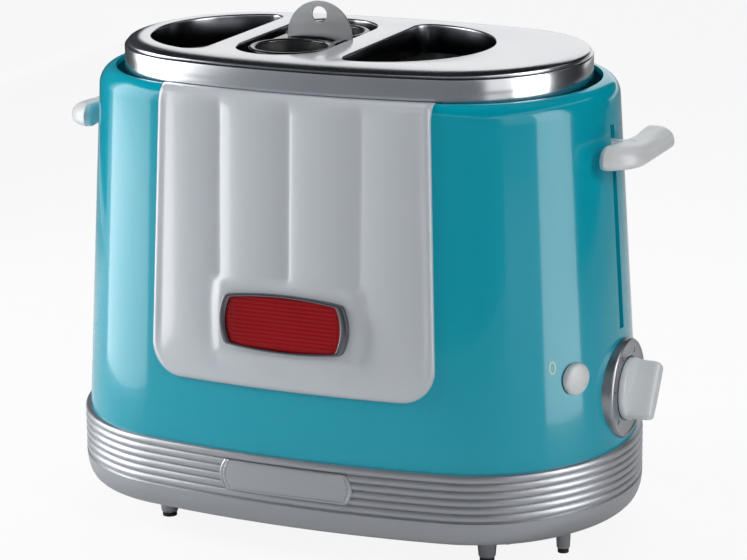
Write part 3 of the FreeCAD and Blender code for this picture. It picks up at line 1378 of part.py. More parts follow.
# ---------------------------------------------------------------------------
# Dial, stop button, cord inlet and crumb tray
# ---------------------------------------------------------------------------
def dial():
    """Timer with its bezel, shaft and knob on the right end."""
    level = size.dial_level
    face = dial_end + size.bezel_proud
    bezel = doc.addObject("Part::Cone", "Bezel")
    bind(bezel, "Radius1", size.bezel_radius)
    bind(bezel, "Radius2", size.bezel_face_radius)
    bind(bezel, "Height", size.bezel_sink + size.bezel_proud)
    place(bezel, (dial_end - size.bezel_sink, 0, level), TURNS["x"])
    recess = rod(size.knob_radius + size.knob_clear, (face - size.bezel_recess, 0, level),
                 size.bezel_sink, "x")
    bore = rod(size.shaft_radius + size.shaft_hole_clear, (timer_face, 0, level), size.bezel_radius, "x")
    node("dial_bezel", cut(bezel, shell_block, recess, bore))
    knob_low = face - size.bezel_recess + size.knob_clear
    grip_low = knob_low + size.knob_disc
    disc = rod(size.knob_radius, (knob_low, 0, level), size.knob_disc, "x")
    grip = doc.addObject("Part::Box", "Grip")
    bind(grip, "Length", size.grip_proud)
    bind(grip, "Width", size.grip_half_width * 2)
    bind(grip, "Height", size.grip_half_length * 2)
    turn = FreeCAD.Rotation(ALONG, -size.grip_angle.value)
    across = size.grip_half_width * cosine(size.grip_angle) + size.grip_half_length * sine(size.grip_angle)
    down = size.grip_half_length * cosine(size.grip_angle) - size.grip_half_width * sine(size.grip_angle)
    place(grip, (grip_low, -across, level - down), turn)
    socket = rod(size.shaft_radius, (knob_low, 0, level), size.shaft_socket, "x")
    node("dial_knob", cut(fuse(disc, grip), socket))
    timer_back = timer_face - size.timer_depth
    node("dial_shaft", rod(size.shaft_radius, (timer_back + size.knob_clear, 0, level),
                           knob_low + size.shaft_socket - timer_back - size.knob_clear, "x"))
    ear = size.timer_ear + size.timer_boss_radius
    body = fuse(rod(size.timer_radius, (timer_back, 0, level), size.timer_depth, "x"),
                box((timer_face - size.timer_ear_sheet, -ear, level - size.timer_boss_radius),
                    (timer_face, ear, level + size.timer_boss_radius)))
    node("timer_body", cut(body, rod(size.shaft_radius + size.shaft_fit, (timer_back, 0, level),
                                     size.timer_depth, "x")))


def stop_controls():
    """Stop button in its hole and the switch at the bottom of the hole."""
    node("stop_button", button_rod(size.button_radius, size.button_sink, size.button_sink + size.button_proud))
    half = size.switch_side
    node("stop_switch", button_box(switch_back, size.switch_depth, -half, half, -half, half))


def cord_inlet():
    """Flanged bush where the cord enters the back of the base."""
    edge = inlet_x - size.inlet_flange
    seat = foot_oval.half_depth + size.base_overhang - edge * edge / (2 * foot_oval.front_radius)
    start = seat + size.inlet_proud - size.inlet_length
    bush = fuse(rod(size.inlet_radius, (inlet_x, start, size.inlet_level), size.inlet_length, "y"),
                rod(size.inlet_flange, (inlet_x, seat, size.inlet_level), size.inlet_flange_depth, "y"))
    node("cord_inlet", cut(bush, rod(size.inlet_bore, (inlet_x, start, size.inlet_level),
                                     size.inlet_length, "y")))


def crumb_tray():
    """Crumb tray that pulls out at the back, with a front that follows the base."""
    low = floor_top + size.crumb_clear
    sheet_top = low + size.crumb_sheet
    left, right = -crumb_left, crumb_right
    near, far = -crumb_front, foot_oval.half_depth + size.base_overhang
    wall = size.crumb_sheet
    wall_top = low + size.crumb_wall
    pan = cut(box((left, near, low), (right, far, wall_top)),
              box((left + wall, near + wall, sheet_top), (right - wall, far + over, wall_top + over)))
    beyond = size.shell_half_depth * 2
    middle = (left + right) / 2
    flush = -size.base_overhang
    inside = prism(foot_oval, size.crumb_face_depth + flush, floor_top, size.base_top)
    face = common(base_block, box((left, 0, low), (right, beyond, low + size.crumb_face_height)))
    grip = cut(box((middle - size.crumb_grip, 0, low + size.crumb_grip_low),
                   (middle + size.crumb_grip, beyond, low + size.crumb_grip_high)),
               prism(foot_oval, size.crumb_grip_depth + flush, floor_top, size.base_top))
    node("crumb_tray", common(pan, inside))
    node("crumb_tray_front", cut(face, inside, grip))


# ---------------------------------------------------------------------------
# The whole toaster
# ---------------------------------------------------------------------------
base_housing()
foot_pads()
base_screws()
node("base_plaque", plaque_solid(0))
outer_shell()
front_panel()
badge()
top_cover()
frames()
end_plates()
heaters()
guards()
heat_shields()
carriage_frame()
trays()
lift()
latch()
basket()
electronics()
dial()
stop_controls()
cord_inlet()
crumb_tray()

doc.recompute()

for thing in doc.Objects:
    if {"Invalid", "Error"} & set(thing.State):
        raise RuntimeError(f"{thing.Label} ({thing.TypeId}) failed: {thing.State}")
for piece in nodes:
    if piece.Shape.isNull() or not piece.Shape.isValid():
        raise RuntimeError(f"{piece.Label} has no valid shape")
for piece in nodes:
    piece.Shape.exportStep(f"parts/{piece.Label}.step")
    print(f"{piece.Label}: {len(piece.Shape.Solids)} solid(s), {piece.Shape.Volume / 1000:.2f} cm3")
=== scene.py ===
# %% [markdown]
# # A hot dog toaster, dressed for its picture
# The toaster's shapes and joints are finished in a CAD model. This script loads that model as a
# fixed frame and gives it its looks: smooth gloss surfaces, real edges, a material for every piece.
# All lengths here are typed in millimetres, because that is how the toaster is measured, and
# become metres when a piece is finished. +Z is up, the front faces -Y and the dial is at +X.

# %% Load the frame
import json
import math
import bmesh
import bpy
from mathutils import Matrix, Vector


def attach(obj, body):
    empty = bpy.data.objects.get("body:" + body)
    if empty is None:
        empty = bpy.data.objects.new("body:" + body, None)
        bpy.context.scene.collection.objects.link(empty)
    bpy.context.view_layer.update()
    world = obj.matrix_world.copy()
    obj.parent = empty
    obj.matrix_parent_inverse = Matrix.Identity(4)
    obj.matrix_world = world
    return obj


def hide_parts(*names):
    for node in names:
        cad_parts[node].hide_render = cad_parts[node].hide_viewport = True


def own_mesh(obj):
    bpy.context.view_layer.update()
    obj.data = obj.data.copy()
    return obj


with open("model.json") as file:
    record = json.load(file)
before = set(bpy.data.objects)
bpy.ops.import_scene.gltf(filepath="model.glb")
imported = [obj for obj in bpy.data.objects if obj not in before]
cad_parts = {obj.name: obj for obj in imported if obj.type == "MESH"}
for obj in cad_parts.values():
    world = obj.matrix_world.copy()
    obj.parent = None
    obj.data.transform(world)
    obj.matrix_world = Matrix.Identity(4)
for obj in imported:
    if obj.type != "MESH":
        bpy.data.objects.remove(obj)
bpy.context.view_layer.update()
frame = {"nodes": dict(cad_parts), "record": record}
MM = 0.001

# %% [markdown]
# ## Shader arithmetic
# A material in Blender is a graph of nodes. Wiring a graph by hand is slow to read, so one small
# class wraps the output of a node. Python's own operators then add Math nodes, and `add` makes any
# other node: its type, its settings, and the numbers or links of its inputs.


# %% A wrapped output
class Signal:
    """One output of a shader node."""

    def __init__(self, tree, socket=None):
        self.tree, self.socket = tree, socket

    def add(self, kind, settings, inputs, output=0):
        """Makes a node with its settings and inputs and wraps one of its outputs."""
        node = self.tree.nodes.new(kind)
        for name, value in settings.items():
            if name == "stops":
                self.set_stops(node.color_ramp, value)
            else:
                setattr(node, name, value)
        for name, value in inputs.items():
            if isinstance(value, Signal):
                self.tree.links.new(value.socket, node.inputs[name])
            else:
                node.inputs[name].default_value = value
        return Signal(self.tree, node.outputs[output])

    @staticmethod
    def set_stops(ramp, stops):
        while len(ramp.elements) < len(stops):
            ramp.elements.new(1.0)
        for element, (position, level) in zip(ramp.elements, stops):
            element.position = position
            element.color = (level, level, level, 1.0)

    def math(self, operation, *values):
        return self.add("ShaderNodeMath", {"operation": operation}, dict(enumerate(values)))

    def __add__(self, other):
        return self.math("ADD", self, other)

    def __sub__(self, other):
        return self.math("SUBTRACT", self, other)

    def __mul__(self, other):
        return self.math("MULTIPLY", self, other)

    def __rsub__(self, other):
        return self.math("SUBTRACT", other, self)

    __radd__ = __add__
    __rmul__ = __mul__

    def mix(self, low, high):
        """Blends two colours; this signal is the share of the second one."""
        return self.add("ShaderNodeMix", {"data_type": "RGBA"}, {0: self, 6: low, 7: high}, 2)

    def ramp(self, *stops):
        return self.add("ShaderNodeValToRGB", {"stops": stops}, {0: self})


def colour(text, gain=1.0):
    """A colour written as on a paint chart, #rrggbb, in the linear numbers that a shader uses."""
    parts = [int(text[i:i + 2], 16) / 255 for i in (1, 3, 5)]
    linear = [p / 12.92 if p <= 0.04045 else ((p + 0.055) / 1.055) ** 2.4 for p in parts]
    return tuple(min(1.0, p * gain) for p in linear) + (1.0,)


print("mid grey in linear numbers:", round(colour("#808080")[0], 3))

# %% [markdown]
# ## Finishes
# Nothing on a real appliance has one flat colour: moulded plastic has a faint ripple under its
# gloss, brushed sheet has long fine scratches, and zinc has patches. Each finish below starts from
# the same Principled shader with the numbers of its stuff, and gets a small variation in colour and
# roughness and a fine bump from noise in object space, at the size that the real finish shows.


# %% The plain recipe
class Finish:
    """A material with its shader and a signal to start patterns from."""

    def __init__(self, name, **constants):
        self.material = bpy.data.materials.new(name)
        self.material.use_nodes = True
        self.tree = self.material.node_tree
        self.shader = self.tree.nodes["Principled BSDF"]
        for socket, value in constants.items():
            self.shader.inputs[socket.replace("_", " ")].default_value = value
        self.place = Signal(self.tree).add("ShaderNodeTexCoord", {}, {}, "Object")

    def stretched(self, scale):
        """Object coordinates multiplied per axis."""
        return self.place.add("ShaderNodeMapping", {}, {"Vector": self.place, "Scale": scale})

    def noise(self, scale, detail=3.0, vector=None):
        source = self.place if vector is None else vector
        inputs = {"Vector": source, "Scale": scale, "Detail": detail}
        return source.add("ShaderNodeTexNoise", {}, inputs)

    def feed(self, **signals):
        """Links signals to sockets of the shader, which are named with _ for a space."""
        for socket, signal in signals.items():
            self.tree.links.new(signal.socket, self.shader.inputs[socket.replace("_", " ")])

    def bump(self, height, strength, depth):
        """Fine relief; depth is in metres."""
        inputs = {"Height": height, "Strength": strength, "Distance": depth}
        self.feed(Normal=height.add("ShaderNodeBump", {}, inputs))

    def for_camera(self, share, kind, inputs):
        """Mixes in another shader for the rays that come straight from the camera."""
        straight = Signal(self.tree).add("ShaderNodeLightPath", {}, {}, "Is Camera Ray")
        other = straight.add(kind, {}, inputs)
        blend = straight.add("ShaderNodeMixShader", {}, {0: straight * share, 2: other})
        self.tree.links.new(self.shader.outputs[0], blend.socket.node.inputs[1])
        self.tree.links.new(blend.socket, self.tree.nodes["Material Output"].inputs[0])


def plain(name, shade, roughness, pattern, tone=0.06, spread=0.04, relief=(0.1, 0.00002),
          **constants):
    """A finish with slight variation: pattern is (scale, detail) or (scale, detail, stretch)."""
    finish = Finish(name, **constants)
    vector = finish.stretched(pattern[2]) if len(pattern) > 2 else None
    noise = finish.noise(pattern[0], pattern[1], vector)
    light = tuple(min(1.0, part * (1 + tone)) for part in shade[:3]) + (1.0,)
    dark = tuple(part * (1 - tone) for part in shade[:3]) + (1.0,)
    finish.feed(Base_Color=noise.mix(dark, light),
                Roughness=noise * (2 * spread) + (roughness - spread))
    finish.bump(noise, *relief)
    return finish.material


# %% Plastics and rubber
enamel = plain("gloss_turquoise", colour("#00adc4"), 0.14, (9.0, 2.0), 0.03, 0.02,
               (0.25, 0.00012), Coat_Weight=0.3, Coat_Roughness=0.03, Specular_IOR_Level=0.35)
pale_panel = plain("pale_panel", colour("#d3d8de"), 0.24, (12.0, 2.0), 0.015, 0.03, (0.25, 0.0001),
                   Coat_Weight=0.4, Coat_Roughness=0.08)
white_plastic = plain("white_plastic", colour("#e6e9eb"), 0.28, (30.0, 3.0), 0.015, 0.04,
                      Subsurface_Weight=0.15, Subsurface_Scale=0.004)
black_plastic = plain("black_plastic", colour("#1c1c1e"), 0.5, (120.0, 4.0), 0.15, 0.08,
                      (0.3, 0.00005))
dark_rubber = plain("dark_rubber", colour("#222222"), 0.75, (200.0, 4.0), 0.2, 0.08, (0.4, 0.00008))
print("plastics made")

# %% Metals
silver_paint = plain("silver_paint", colour("#aeb0b5"), 0.36, (900.0, 2.0), 0.03, 0.04,
                     (0.05, 0.00001), Metallic=0.7)
dark_chrome = plain("dark_chrome", colour("#77777c"), 0.18, (60.0, 3.0), 0.05, 0.03, Metallic=1.0)
plaque_metal = plain("plaque_metal", colour("#b3b5b9"), 0.34, (60.0, 4.0, (0.3, 1.0, 25.0)),
                     0.05, 0.05, Metallic=0.85)
bezel_metal = plain("bezel_metal", colour("#a3a5aa"), 0.32, (300.0, 3.0), 0.05, 0.05, Metallic=0.9)
tab_steel = plain("tab_steel", colour("#dcdfe0"), 0.4, (40.0, 4.0, (1.0, 1.0, 18.0)),
                  0.07, 0.06, Metallic=0.9)
wire = plain("bright_wire", colour("#bdbdbd"), 0.25, (300.0, 3.0), 0.08, 0.06, Metallic=1.0)
iron = plain("plain_iron", colour("#707072"), 0.45, (150.0, 4.0), 0.15, 0.1, Metallic=1.0)
copper = plain("wound_copper", colour("#b5693f"), 0.3, (20.0, 2.0, (1.0, 1.0, 200.0)), 0.25, 0.08,
               (0.5, 0.0002), Metallic=1.0)
ribbon = plain("heating_alloy", colour("#6c6761"), 0.45, (120.0, 4.0), 0.2, 0.1, Metallic=1.0)
print("metals made")


# %% Zinc sheet, mica and board
def galvanised_finish():
    """Zinc-coated sheet: angular patches of slightly different grey."""
    finish = Finish("zinc_sheet", Metallic=0.9)
    cells = finish.place.add("ShaderNodeTexVoronoi", {},
                             {"Vector": finish.place, "Scale": 140.0}, "Color")
    patch = cells.add("ShaderNodeSeparateColor", {}, {0: cells})
    fine = finish.noise(500.0)
    finish.feed(Base_Color=patch.mix(colour("#8f9294"), colour("#b9bcbe")),
                Roughness=patch * 0.15 + fine * 0.1 + 0.28)
    finish.bump(fine, 0.15, 0.00002)
    return finish.material


def mica_finish():
    """Pressed mica board: pale brown flakes."""
    finish = Finish("mica_board")
    flakes = finish.place.add("ShaderNodeTexVoronoi", {},
                              {"Vector": finish.place, "Scale": 260.0}, "Color")
    flake = flakes.add("ShaderNodeSeparateColor", {}, {0: flakes})
    cloud = finish.noise(30.0)
    finish.feed(Base_Color=(flake * 0.6 + cloud * 0.4).mix(colour("#8d7b58"), colour("#d8c7a0")),
                Roughness=flake * 0.3 + 0.35)
    finish.bump(flake, 0.2, 0.00005)
    return finish.material


def board_finish():
    """Green circuit laminate with paler tracks."""
    finish = Finish("circuit_laminate", Coat_Weight=0.3)
    bricks = finish.place.add("ShaderNodeTexBrick", {"offset": 0.5},
                              {"Vector": finish.place, "Scale": 180.0}, 1)
    track = bricks * 0.5
    finish.feed(Base_Color=track.mix(colour("#17512c"), colour("#3c8a55")),
                Roughness=track * 0.2 + 0.35)
    finish.bump(bricks, 0.3, 0.00005)
    return finish.material


galvanised, mica, board = galvanised_finish(), mica_finish(), board_finish()


def cover_finish():
    """Polished steel, with painted shade on the collars that hang down inside the openings."""
    half_length, half_depth, collar_low, collar_tall = 0.112, 0.066, 0.225, 0.014
    finish = Finish("polished_cover", Metallic=1.0)
    along, across, height = (finish.place.add("ShaderNodeSeparateXYZ", {}, {0: finish.place}, axis)
                             for axis in range(3))
    along, across = along * (1 / half_length), across * (1 / half_depth)
    reach = (along * along + across * across) * 0.5
    inside = reach.ramp((0.49, 1.0), (0.52, 0.0))
    # Painted shade: inside the openings and below the deck the steel is mixed towards dark grey,
    # fully at the foot of the collars and fading out just under the deck.
    collar_shade_share = ((height - collar_low) * (1 / collar_tall)).ramp((0.0, 1.0), (0.9, 0.75), (0.975, 0.0))
    cloud = finish.noise(25.0, 2.0)
    unshaded_steel = cloud.mix(colour("#d6d9de"), colour("#e2e4e8"))
    finish.feed(Base_Color=(collar_shade_share * inside).mix(unshaded_steel, colour("#2e2f35")),
                Roughness=cloud * 0.06 + 0.17)
    finish.bump(cloud, 0.05, 0.00001)
    return finish.material


polished_cover = cover_finish()


def red_lens_finish():
    """Red moulded plastic with a little cloud in its colour."""
    finish = Finish("red_lens", Coat_Weight=0.05, Coat_Roughness=0.1, Specular_IOR_Level=0.2)
    cloud = finish.noise(60.0)
    finish.feed(Base_Color=cloud.mix(colour("#8f0411"), colour("#a80a18")),
                Roughness=cloud * 0.08 + 0.26)
    finish.bump(cloud, 0.1, 0.00003)
    return finish.material


red_lens = red_lens_finish()
pale_ink = plain("pale_ink", colour("#cfe3d2"), 0.4, (300.0, 2.0), 0.04)
# Dark ink for the dial's numbers; the same dark also paints the shade of the gap round the stop
# button.
ink_and_gap_shade = plain("ink_and_gap_shade", colour("#2b2c30"), 0.45, (300.0, 2.0), 0.1)
print("finishes made:", len(bpy.data.materials))

# %% [markdown]
# ## Finishing a piece
# A bmesh is a mesh being worked on. When its shape is done, doubled points are merged, faces are
# turned outwards, and edges between faces that meet at a sharp angle are marked, so that the gloss
# stays smooth over the curves and breaks at the corners. The piece then rides on the empty of its
# body, the CAD nodes it takes the place of are hidden, and it gets the finish that the table gives
# for its slot. A few small marks have a finish of their own.


# %% Finish a piece
FINISHES = {"silver_paint": silver_paint, "enamel": enamel, "pale_panel": pale_panel,
            "white_plastic": white_plastic, "polished_cover": polished_cover,
            "dark_chrome": dark_chrome, "red_lens": red_lens, "plaque": plaque_metal,
            "bezel_metal": bezel_metal, "galvanised": galvanised, "mica": mica,
            "ribbon": ribbon, "wire": wire, "tab_steel": tab_steel, "copper": copper,
            "iron": iron, "board": board, "black_plastic": black_plastic,
            "dark_rubber": dark_rubber}
MERGE = 0.004


def as_object(bm, name):
    """Turns a bmesh into an object of the scene."""
    mesh = bpy.data.meshes.new(name)
    bm.to_mesh(mesh)
    bm.free()
    thing = bpy.data.objects.new(name, mesh)
    bpy.context.scene.collection.objects.link(thing)
    return thing


def new_verts(result):
    """The vertices among what an operator has made."""
    return [part for part in result["geom"] if isinstance(part, bmesh.types.BMVert)]


def ends_of(edges):
    """The vertices of some edges, each of them once."""
    return list({vertex for edge in edges for vertex in edge.verts})


def added(bm, known):
    """The edges that were not there before."""
    return [edge for edge in bm.edges if edge not in known]


def turn_all(bm, angle, axis):
    """Turns the whole bmesh about an axis through the origin."""
    bmesh.ops.rotate(bm, verts=bm.verts, cent=(0, 0, 0), matrix=Matrix.Rotation(angle, 3, axis))


def sized(place, size):
    """The matrix that puts a shape of size 1 in its place at a size."""
    return Matrix.Translation(place) @ Matrix.Diagonal((*size, 1.0))


def finish_piece(bm, name, body, slot, replaced=(), finish=None, sharp=35.0, outward=True):
    """Cleans a bmesh, marks its sharp edges, gives it its finish and body, hides what it replaces.
    """
    bmesh.ops.remove_doubles(bm, verts=bm.verts, dist=MERGE)
    if outward:
        bmesh.ops.recalc_face_normals(bm, faces=bm.faces)
    limit = math.radians(sharp)
    for face in bm.faces:
        face.smooth = True
    for edge in bm.edges:
        edge.smooth = len(edge.link_faces) == 2 and edge.calc_face_angle(0.0) < limit
    bmesh.ops.scale(bm, vec=(MM, MM, MM), verts=bm.verts)
    piece = as_object(bm, name)
    piece.data.materials.append(finish or FINISHES[slot])
    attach(piece, body)
    if replaced:
        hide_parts(*replaced)
    print(f"{name}: {len(piece.data.polygons)} faces")
    return piece


# %% [markdown]
# ## Ovals
# Seen from above, the toaster is an oval of eight arcs: a long flat arc at the front and back, a
# rounder one at each end, and four corners that touch both. A spin draws an arc from a single
# vertex, so a quarter of the oval is three spins in a row, and two mirrors make it whole. Ovals at
# different heights have the same number of points, so bridging them gives clean rows of quads.


# %% The oval
class Oval:
    """Half length, half depth, front bow, end bow and corner radius."""

    def __init__(self, *values):
        self.values = values
        self.length, self.depth, front_bow, end_bow, self.corner = values
        self.front = ((self.length - end_bow) ** 2 + front_bow ** 2) / (2 * front_bow)
        self.end = ((self.depth - front_bow) ** 2 + end_bow ** 2) / (2 * end_bow)
        reach, drop = self.length - self.end, self.front - self.depth
        far, near, gap = self.front - self.corner, self.end - self.corner, math.hypot(reach, drop)
        along = (far ** 2 - near ** 2 + gap ** 2) / (2 * gap)
        across = math.sqrt(far ** 2 - along ** 2)
        self.reach, self.drop = reach, drop
        self.corner_x = (along * reach + across * drop) / gap
        self.corner_y = (along * drop - across * reach) / gap - drop
        self.end_turn = math.atan2(self.corner_y, self.corner_x - reach)
        self.front_turn = math.atan2(self.corner_y + drop, self.corner_x)

    def mixed(self, other, share):
        return Oval(*[a + (b - a) * share for a, b in zip(self.values, other.values)])

    def ring(self, bm, level, inset=0.0, steps=(18, 20, 10)):
        """Draws the oval, moved inwards, and returns its edges."""
        known = set(bm.edges)
        vertex = bm.verts.new((0, inset - self.depth, level))
        arcs = [((0, self.drop, level), math.pi / 2 - self.front_turn),
                ((self.corner_x, -self.corner_y, level), self.front_turn - self.end_turn),
                ((self.reach, 0, level), self.end_turn)]
        for (centre, angle), count in zip(arcs, steps):
            vertex = spin_vertex(bm, vertex, centre, angle, count)
        return mirrored_ring(bm, known, "YX")

    def front_y(self, x, inset=0.0):
        """How far forward the oval lies at x."""
        x = abs(x)
        if x <= self.front * math.cos(self.front_turn):
            return math.sqrt((self.front - inset) ** 2 - x * x) - self.drop
        fall = (self.corner - inset) ** 2 - (x - self.corner_x) ** 2
        return self.corner_y + math.sqrt(max(fall, 0))


def spin_vertex(bm, vertex, centre, angle, steps, axis=(0, 0, 1)):
    """Draws an arc from a vertex and returns the vertex at its end."""
    arc = bmesh.ops.spin(bm, geom=[vertex], cent=centre, axis=axis, angle=angle, steps=steps)
    return next(part for part in arc["geom_last"] if isinstance(part, bmesh.types.BMVert))


def mirrored_ring(bm, known, axes="Y"):
    """Mirrors the new edges, merging them on the mirror planes, and returns all the new edges."""
    edges = added(bm, known)
    for axis in axes:
        bmesh.ops.mirror(bm, geom=ends_of(edges) + edges, axis=axis, merge_dist=0.01)
        edges = added(bm, known)
    return edges


def bridge(bm, rings):
    """Joins a stack of rings with faces."""
    for low, high in zip(rings, rings[1:]):
        bmesh.ops.bridge_loops(bm, edges=low + high)


def cap(bm, rings):
    """Closes the first and the last ring of a stack."""
    for end in (rings[0], rings[-1]):
        bmesh.ops.contextual_create(bm, geom=end)


foot = Oval(140.0, 86.5, 9.0, 45.2, 70.0)
shoulder = Oval(129.9, 77.8, 8.0, 39.0, 62.0)
rim = Oval(121.6, 72.8, 8.0, 39.0, 62.0)
deck = Oval(108.4, 54.0, 5.1, 19.0, 42.0)
BASE_TOP, SHOULDER_LEVEL, RIM_LEVEL, DECK_LEVEL = 53.6, 216.0, 225.3, 239.0
SHOULDER_RISE = 9.3
print("corner centre of the foot oval", round(foot.corner_x, 1), round(foot.corner_y, 1))


def wall_oval(level):
    """The shell's outline at a level between foot and shoulder."""
    return foot.mixed(shoulder, (level - BASE_TOP) / (SHOULDER_LEVEL - BASE_TOP))


# %% [markdown]
# ## Shell
# The shell is a tapered tub without a bottom, with a rounded shoulder that turns in to a rim. Its
# rings go from the seam up the wall and over the shoulder to the rim. Two long cuts and two of the
# rings mark out a lever slot at each end, whose faces are taken away, and the wall's thickness
# comes last.


# %% Shell
SHELL_WALL, SLOT_HALF, SLOT_LOW, SLOT_HIGH = 2.4, 2.7, 109.0, 207.0


def cut_planes(bm, axis, places):
    """Cuts every face that crosses a plane at each place along an axis."""
    normal = [float(axis == index) for index in range(3)]
    for spot in places:
        point = [spot * part for part in normal]
        bmesh.ops.bisect_plane(bm, geom=bm.verts[:] + bm.edges[:] + bm.faces[:], dist=0.0001,
                               plane_co=point, plane_no=normal)


def remove_faces(bm, wanted):
    """Takes away the faces whose centre the test wants."""
    doomed = [face for face in bm.faces if wanted(face.calc_center_median())]
    bmesh.ops.delete(bm, geom=doomed, context="FACES")


def thicken(bm, wall):
    """Gives a skin whose faces point outwards its thickness on the inside."""
    bmesh.ops.recalc_face_normals(bm, faces=bm.faces)
    bmesh.ops.solidify(bm, geom=bm.faces[:], thickness=wall)


bm = bmesh.new()
levels = [BASE_TOP, 54.6, 70.0, 90.0, SLOT_LOW, 130.0, 150.0, 170.0, 190.0, SLOT_HIGH,
          SHOULDER_LEVEL]
rings = [wall_oval(level).ring(bm, level) for level in levels]
for turn in range(10, 100, 10):
    angle = math.radians(turn)
    level = SHOULDER_LEVEL + SHOULDER_RISE * math.sin(angle)
    rings.append(shoulder.mixed(rim, 1 - math.cos(angle)).ring(bm, level))
bridge(bm, rings)
cut_planes(bm, 1, (-SLOT_HALF, SLOT_HALF))
remove_faces(bm, lambda c: abs(c.x) > 100 and abs(c.y) < SLOT_HALF and SLOT_LOW < c.z < SLOT_HIGH)
thicken(bm, SHELL_WALL)
finish_piece(bm, "shell", "toaster", "enamel", ("outer_shell",), outward=False)

# %% [markdown]
# ## Front panel
# The pale panel is one moulding that follows the shell and stands out of it. It is a grid whose
# columns and rows are packed near the edges, where it rolls over to the shell. Each point is set on
# the shell's surface and then raised. The height falls to nothing at the outline. Across the panel
# it follows four shallow arcs, the flutes, which meet in three sharp valleys, and a plain pad fills
# the valleys where the badge sits.


# %% Panel surface
PANEL_LOW, PANEL_WIDE, PANEL_SLIM, PANEL_CORNER, PANEL_PROUD = 86.0, 73.0, 69.0, 16.0, 2.8
PANEL_ROLL, FLUTE_SPACING, FLUTE_DEPTH, FLUTE_BULGE = 3.0, 36.0, 2.65, 0.75
SHOULDER_RUN, PANEL_END, PANEL_LIP, PAD_PROUD = 13.0, 0.3, 1.2, 0.3
PAD_X, PAD_Z, PAD_LEVEL = 36.5, 17.5, 119.2
PANEL_TOP = SHOULDER_LEVEL + SHOULDER_RUN


def panel_half(level):
    """Half width of the panel at a level."""
    if level < PANEL_LOW + PANEL_CORNER:
        short = PANEL_LOW + PANEL_CORNER - level
        return PANEL_WIDE - PANEL_CORNER + math.sqrt(max(PANEL_CORNER ** 2 - short ** 2, 0))
    share = (level - PANEL_LOW - PANEL_CORNER) / (RIM_LEVEL - PANEL_LOW - PANEL_CORNER)
    return PANEL_WIDE + (PANEL_SLIM - PANEL_WIDE) * share


def on_front(x, level, proud):
    """A point on the shell's front, raised by a height; above the shoulder it goes round it."""
    over = level - SHOULDER_LEVEL
    if over <= 0:
        return Vector((x, -wall_oval(level).front_y(x, -proud), level))
    angle = min(over / SHOULDER_RUN, 1.0) * math.pi / 2
    oval = shoulder.mixed(rim, 1 - math.cos(angle))
    proud += (PANEL_END - proud) * ease((over / SHOULDER_RUN - 0.45) / 0.55)
    rise = (SHOULDER_RISE + proud) * math.sin(angle)
    return Vector((x, -oval.front_y(x, -proud * math.cos(angle)), SHOULDER_LEVEL + rise))


def ease(value):
    """0 to 1 with a soft start and end."""
    value = max(0.0, min(1.0, value))
    return value * value * (3 - 2 * value)


def flute(x, level):
    """Depth below a flute's crown; each flute is an arc, and two meet in a sharp valley."""
    away = abs(x) % FLUTE_SPACING / FLUTE_SPACING * 2 - 1
    depth = (1 - math.sqrt(1 - (FLUTE_BULGE * away) ** 2)) / (1 - math.sqrt(1 - FLUTE_BULGE ** 2))
    fade = ease((level - PANEL_LOW - 4) / 26) * ease((SHOULDER_LEVEL + 7.5 - level) / 7)
    return FLUTE_DEPTH * depth * fade


def badge_pad(x, level):
    """Share by which the plain pad round the badge fills the grooves."""
    side = abs(x) / (PAD_X + 1.5 * (1 - ((level - PAD_LEVEL) / PAD_Z) ** 2))
    tall = abs(level - PAD_LEVEL) / (PAD_Z + 1.5 * (1 - (x / PAD_X) ** 2))
    return 1 - ease((max(side, tall) - 0.9) / 0.22)


def draw_back(bm, depth):
    """Extrudes the open outline of a skin straight back, so that no gap shows behind its edge."""
    outline = [edge for edge in bm.edges if edge.is_boundary]
    for vertex in new_verts(bmesh.ops.extrude_edge_only(bm, edges=outline)):
        vertex.co.y += depth


print("panel half width low down and at the rim:", panel_half(PANEL_LOW + PANEL_CORNER),
      round(panel_half(RIM_LEVEL), 1))

# %% Front panel
FOOT_SHARE, FOOT_BAND = 0.12, 5.0

bm = bmesh.new()
bmesh.ops.create_grid(bm, x_segments=118, y_segments=96, size=1.0)
for vertex in bm.verts:
    across, up = vertex.co.x, (vertex.co.y + 1) / 2
    if up < FOOT_SHARE:
        level = PANEL_LOW + FOOT_BAND * (up / FOOT_SHARE) ** 1.6
    else:
        share = (up - FOOT_SHARE) / (1 - FOOT_SHARE)
        level = PANEL_LOW + FOOT_BAND + (PANEL_TOP - PANEL_LOW - FOOT_BAND) * share
    half = panel_half(level)
    side = math.copysign(1 - (1 - abs(across)) ** 1.25, across)
    x = half * side
    shortfall = PANEL_LOW + PANEL_CORNER - level
    edge = half - abs(x)
    if shortfall > 0 and abs(x) > PANEL_WIDE - PANEL_CORNER:
        edge = PANEL_CORNER - math.hypot(shortfall, abs(x) - PANEL_WIDE + PANEL_CORNER)
    elif shortfall > 0:
        edge = min(edge, level - PANEL_LOW)
    roll = max(0.0, 1 - max(edge, 0.0) / PANEL_ROLL)
    proud = PANEL_PROUD * math.sqrt(max(1 - roll ** 2, 0))
    pad = badge_pad(x, level)
    proud += (PAD_PROUD * pad - flute(x, level) * (1 - pad)) * ease(edge / 6)
    vertex.co = on_front(x, level, proud - 0.05)
draw_back(bm, PANEL_LIP)
finish_piece(bm, "panel", "toaster", "pale_panel", ("front_panel",), sharp=50.0)

# %% [markdown]
# ## Top cover
# The cover is a pressed sheet: a band, a fine crease, a rounded shoulder and a flat deck with three
# openings whose edges are rolled down into collars. The band and shoulder are bridged rings. The
# deck is filled between the last ring and the outlines of the openings, and each outline then goes
# on as a roll and a collar.


# %% Outlines of the openings
def run_to(bm, vertex, point, steps=4):
    """Draws a straight run of edges from a vertex and returns the vertex at its end."""
    start = vertex.co.copy()
    for step in range(1, steps + 1):
        grown = bmesh.ops.extrude_vert_indiv(bm, verts=[vertex])
        vertex = grown["verts"][0]
        vertex.co = start.lerp(Vector(point), step / steps)
    return vertex


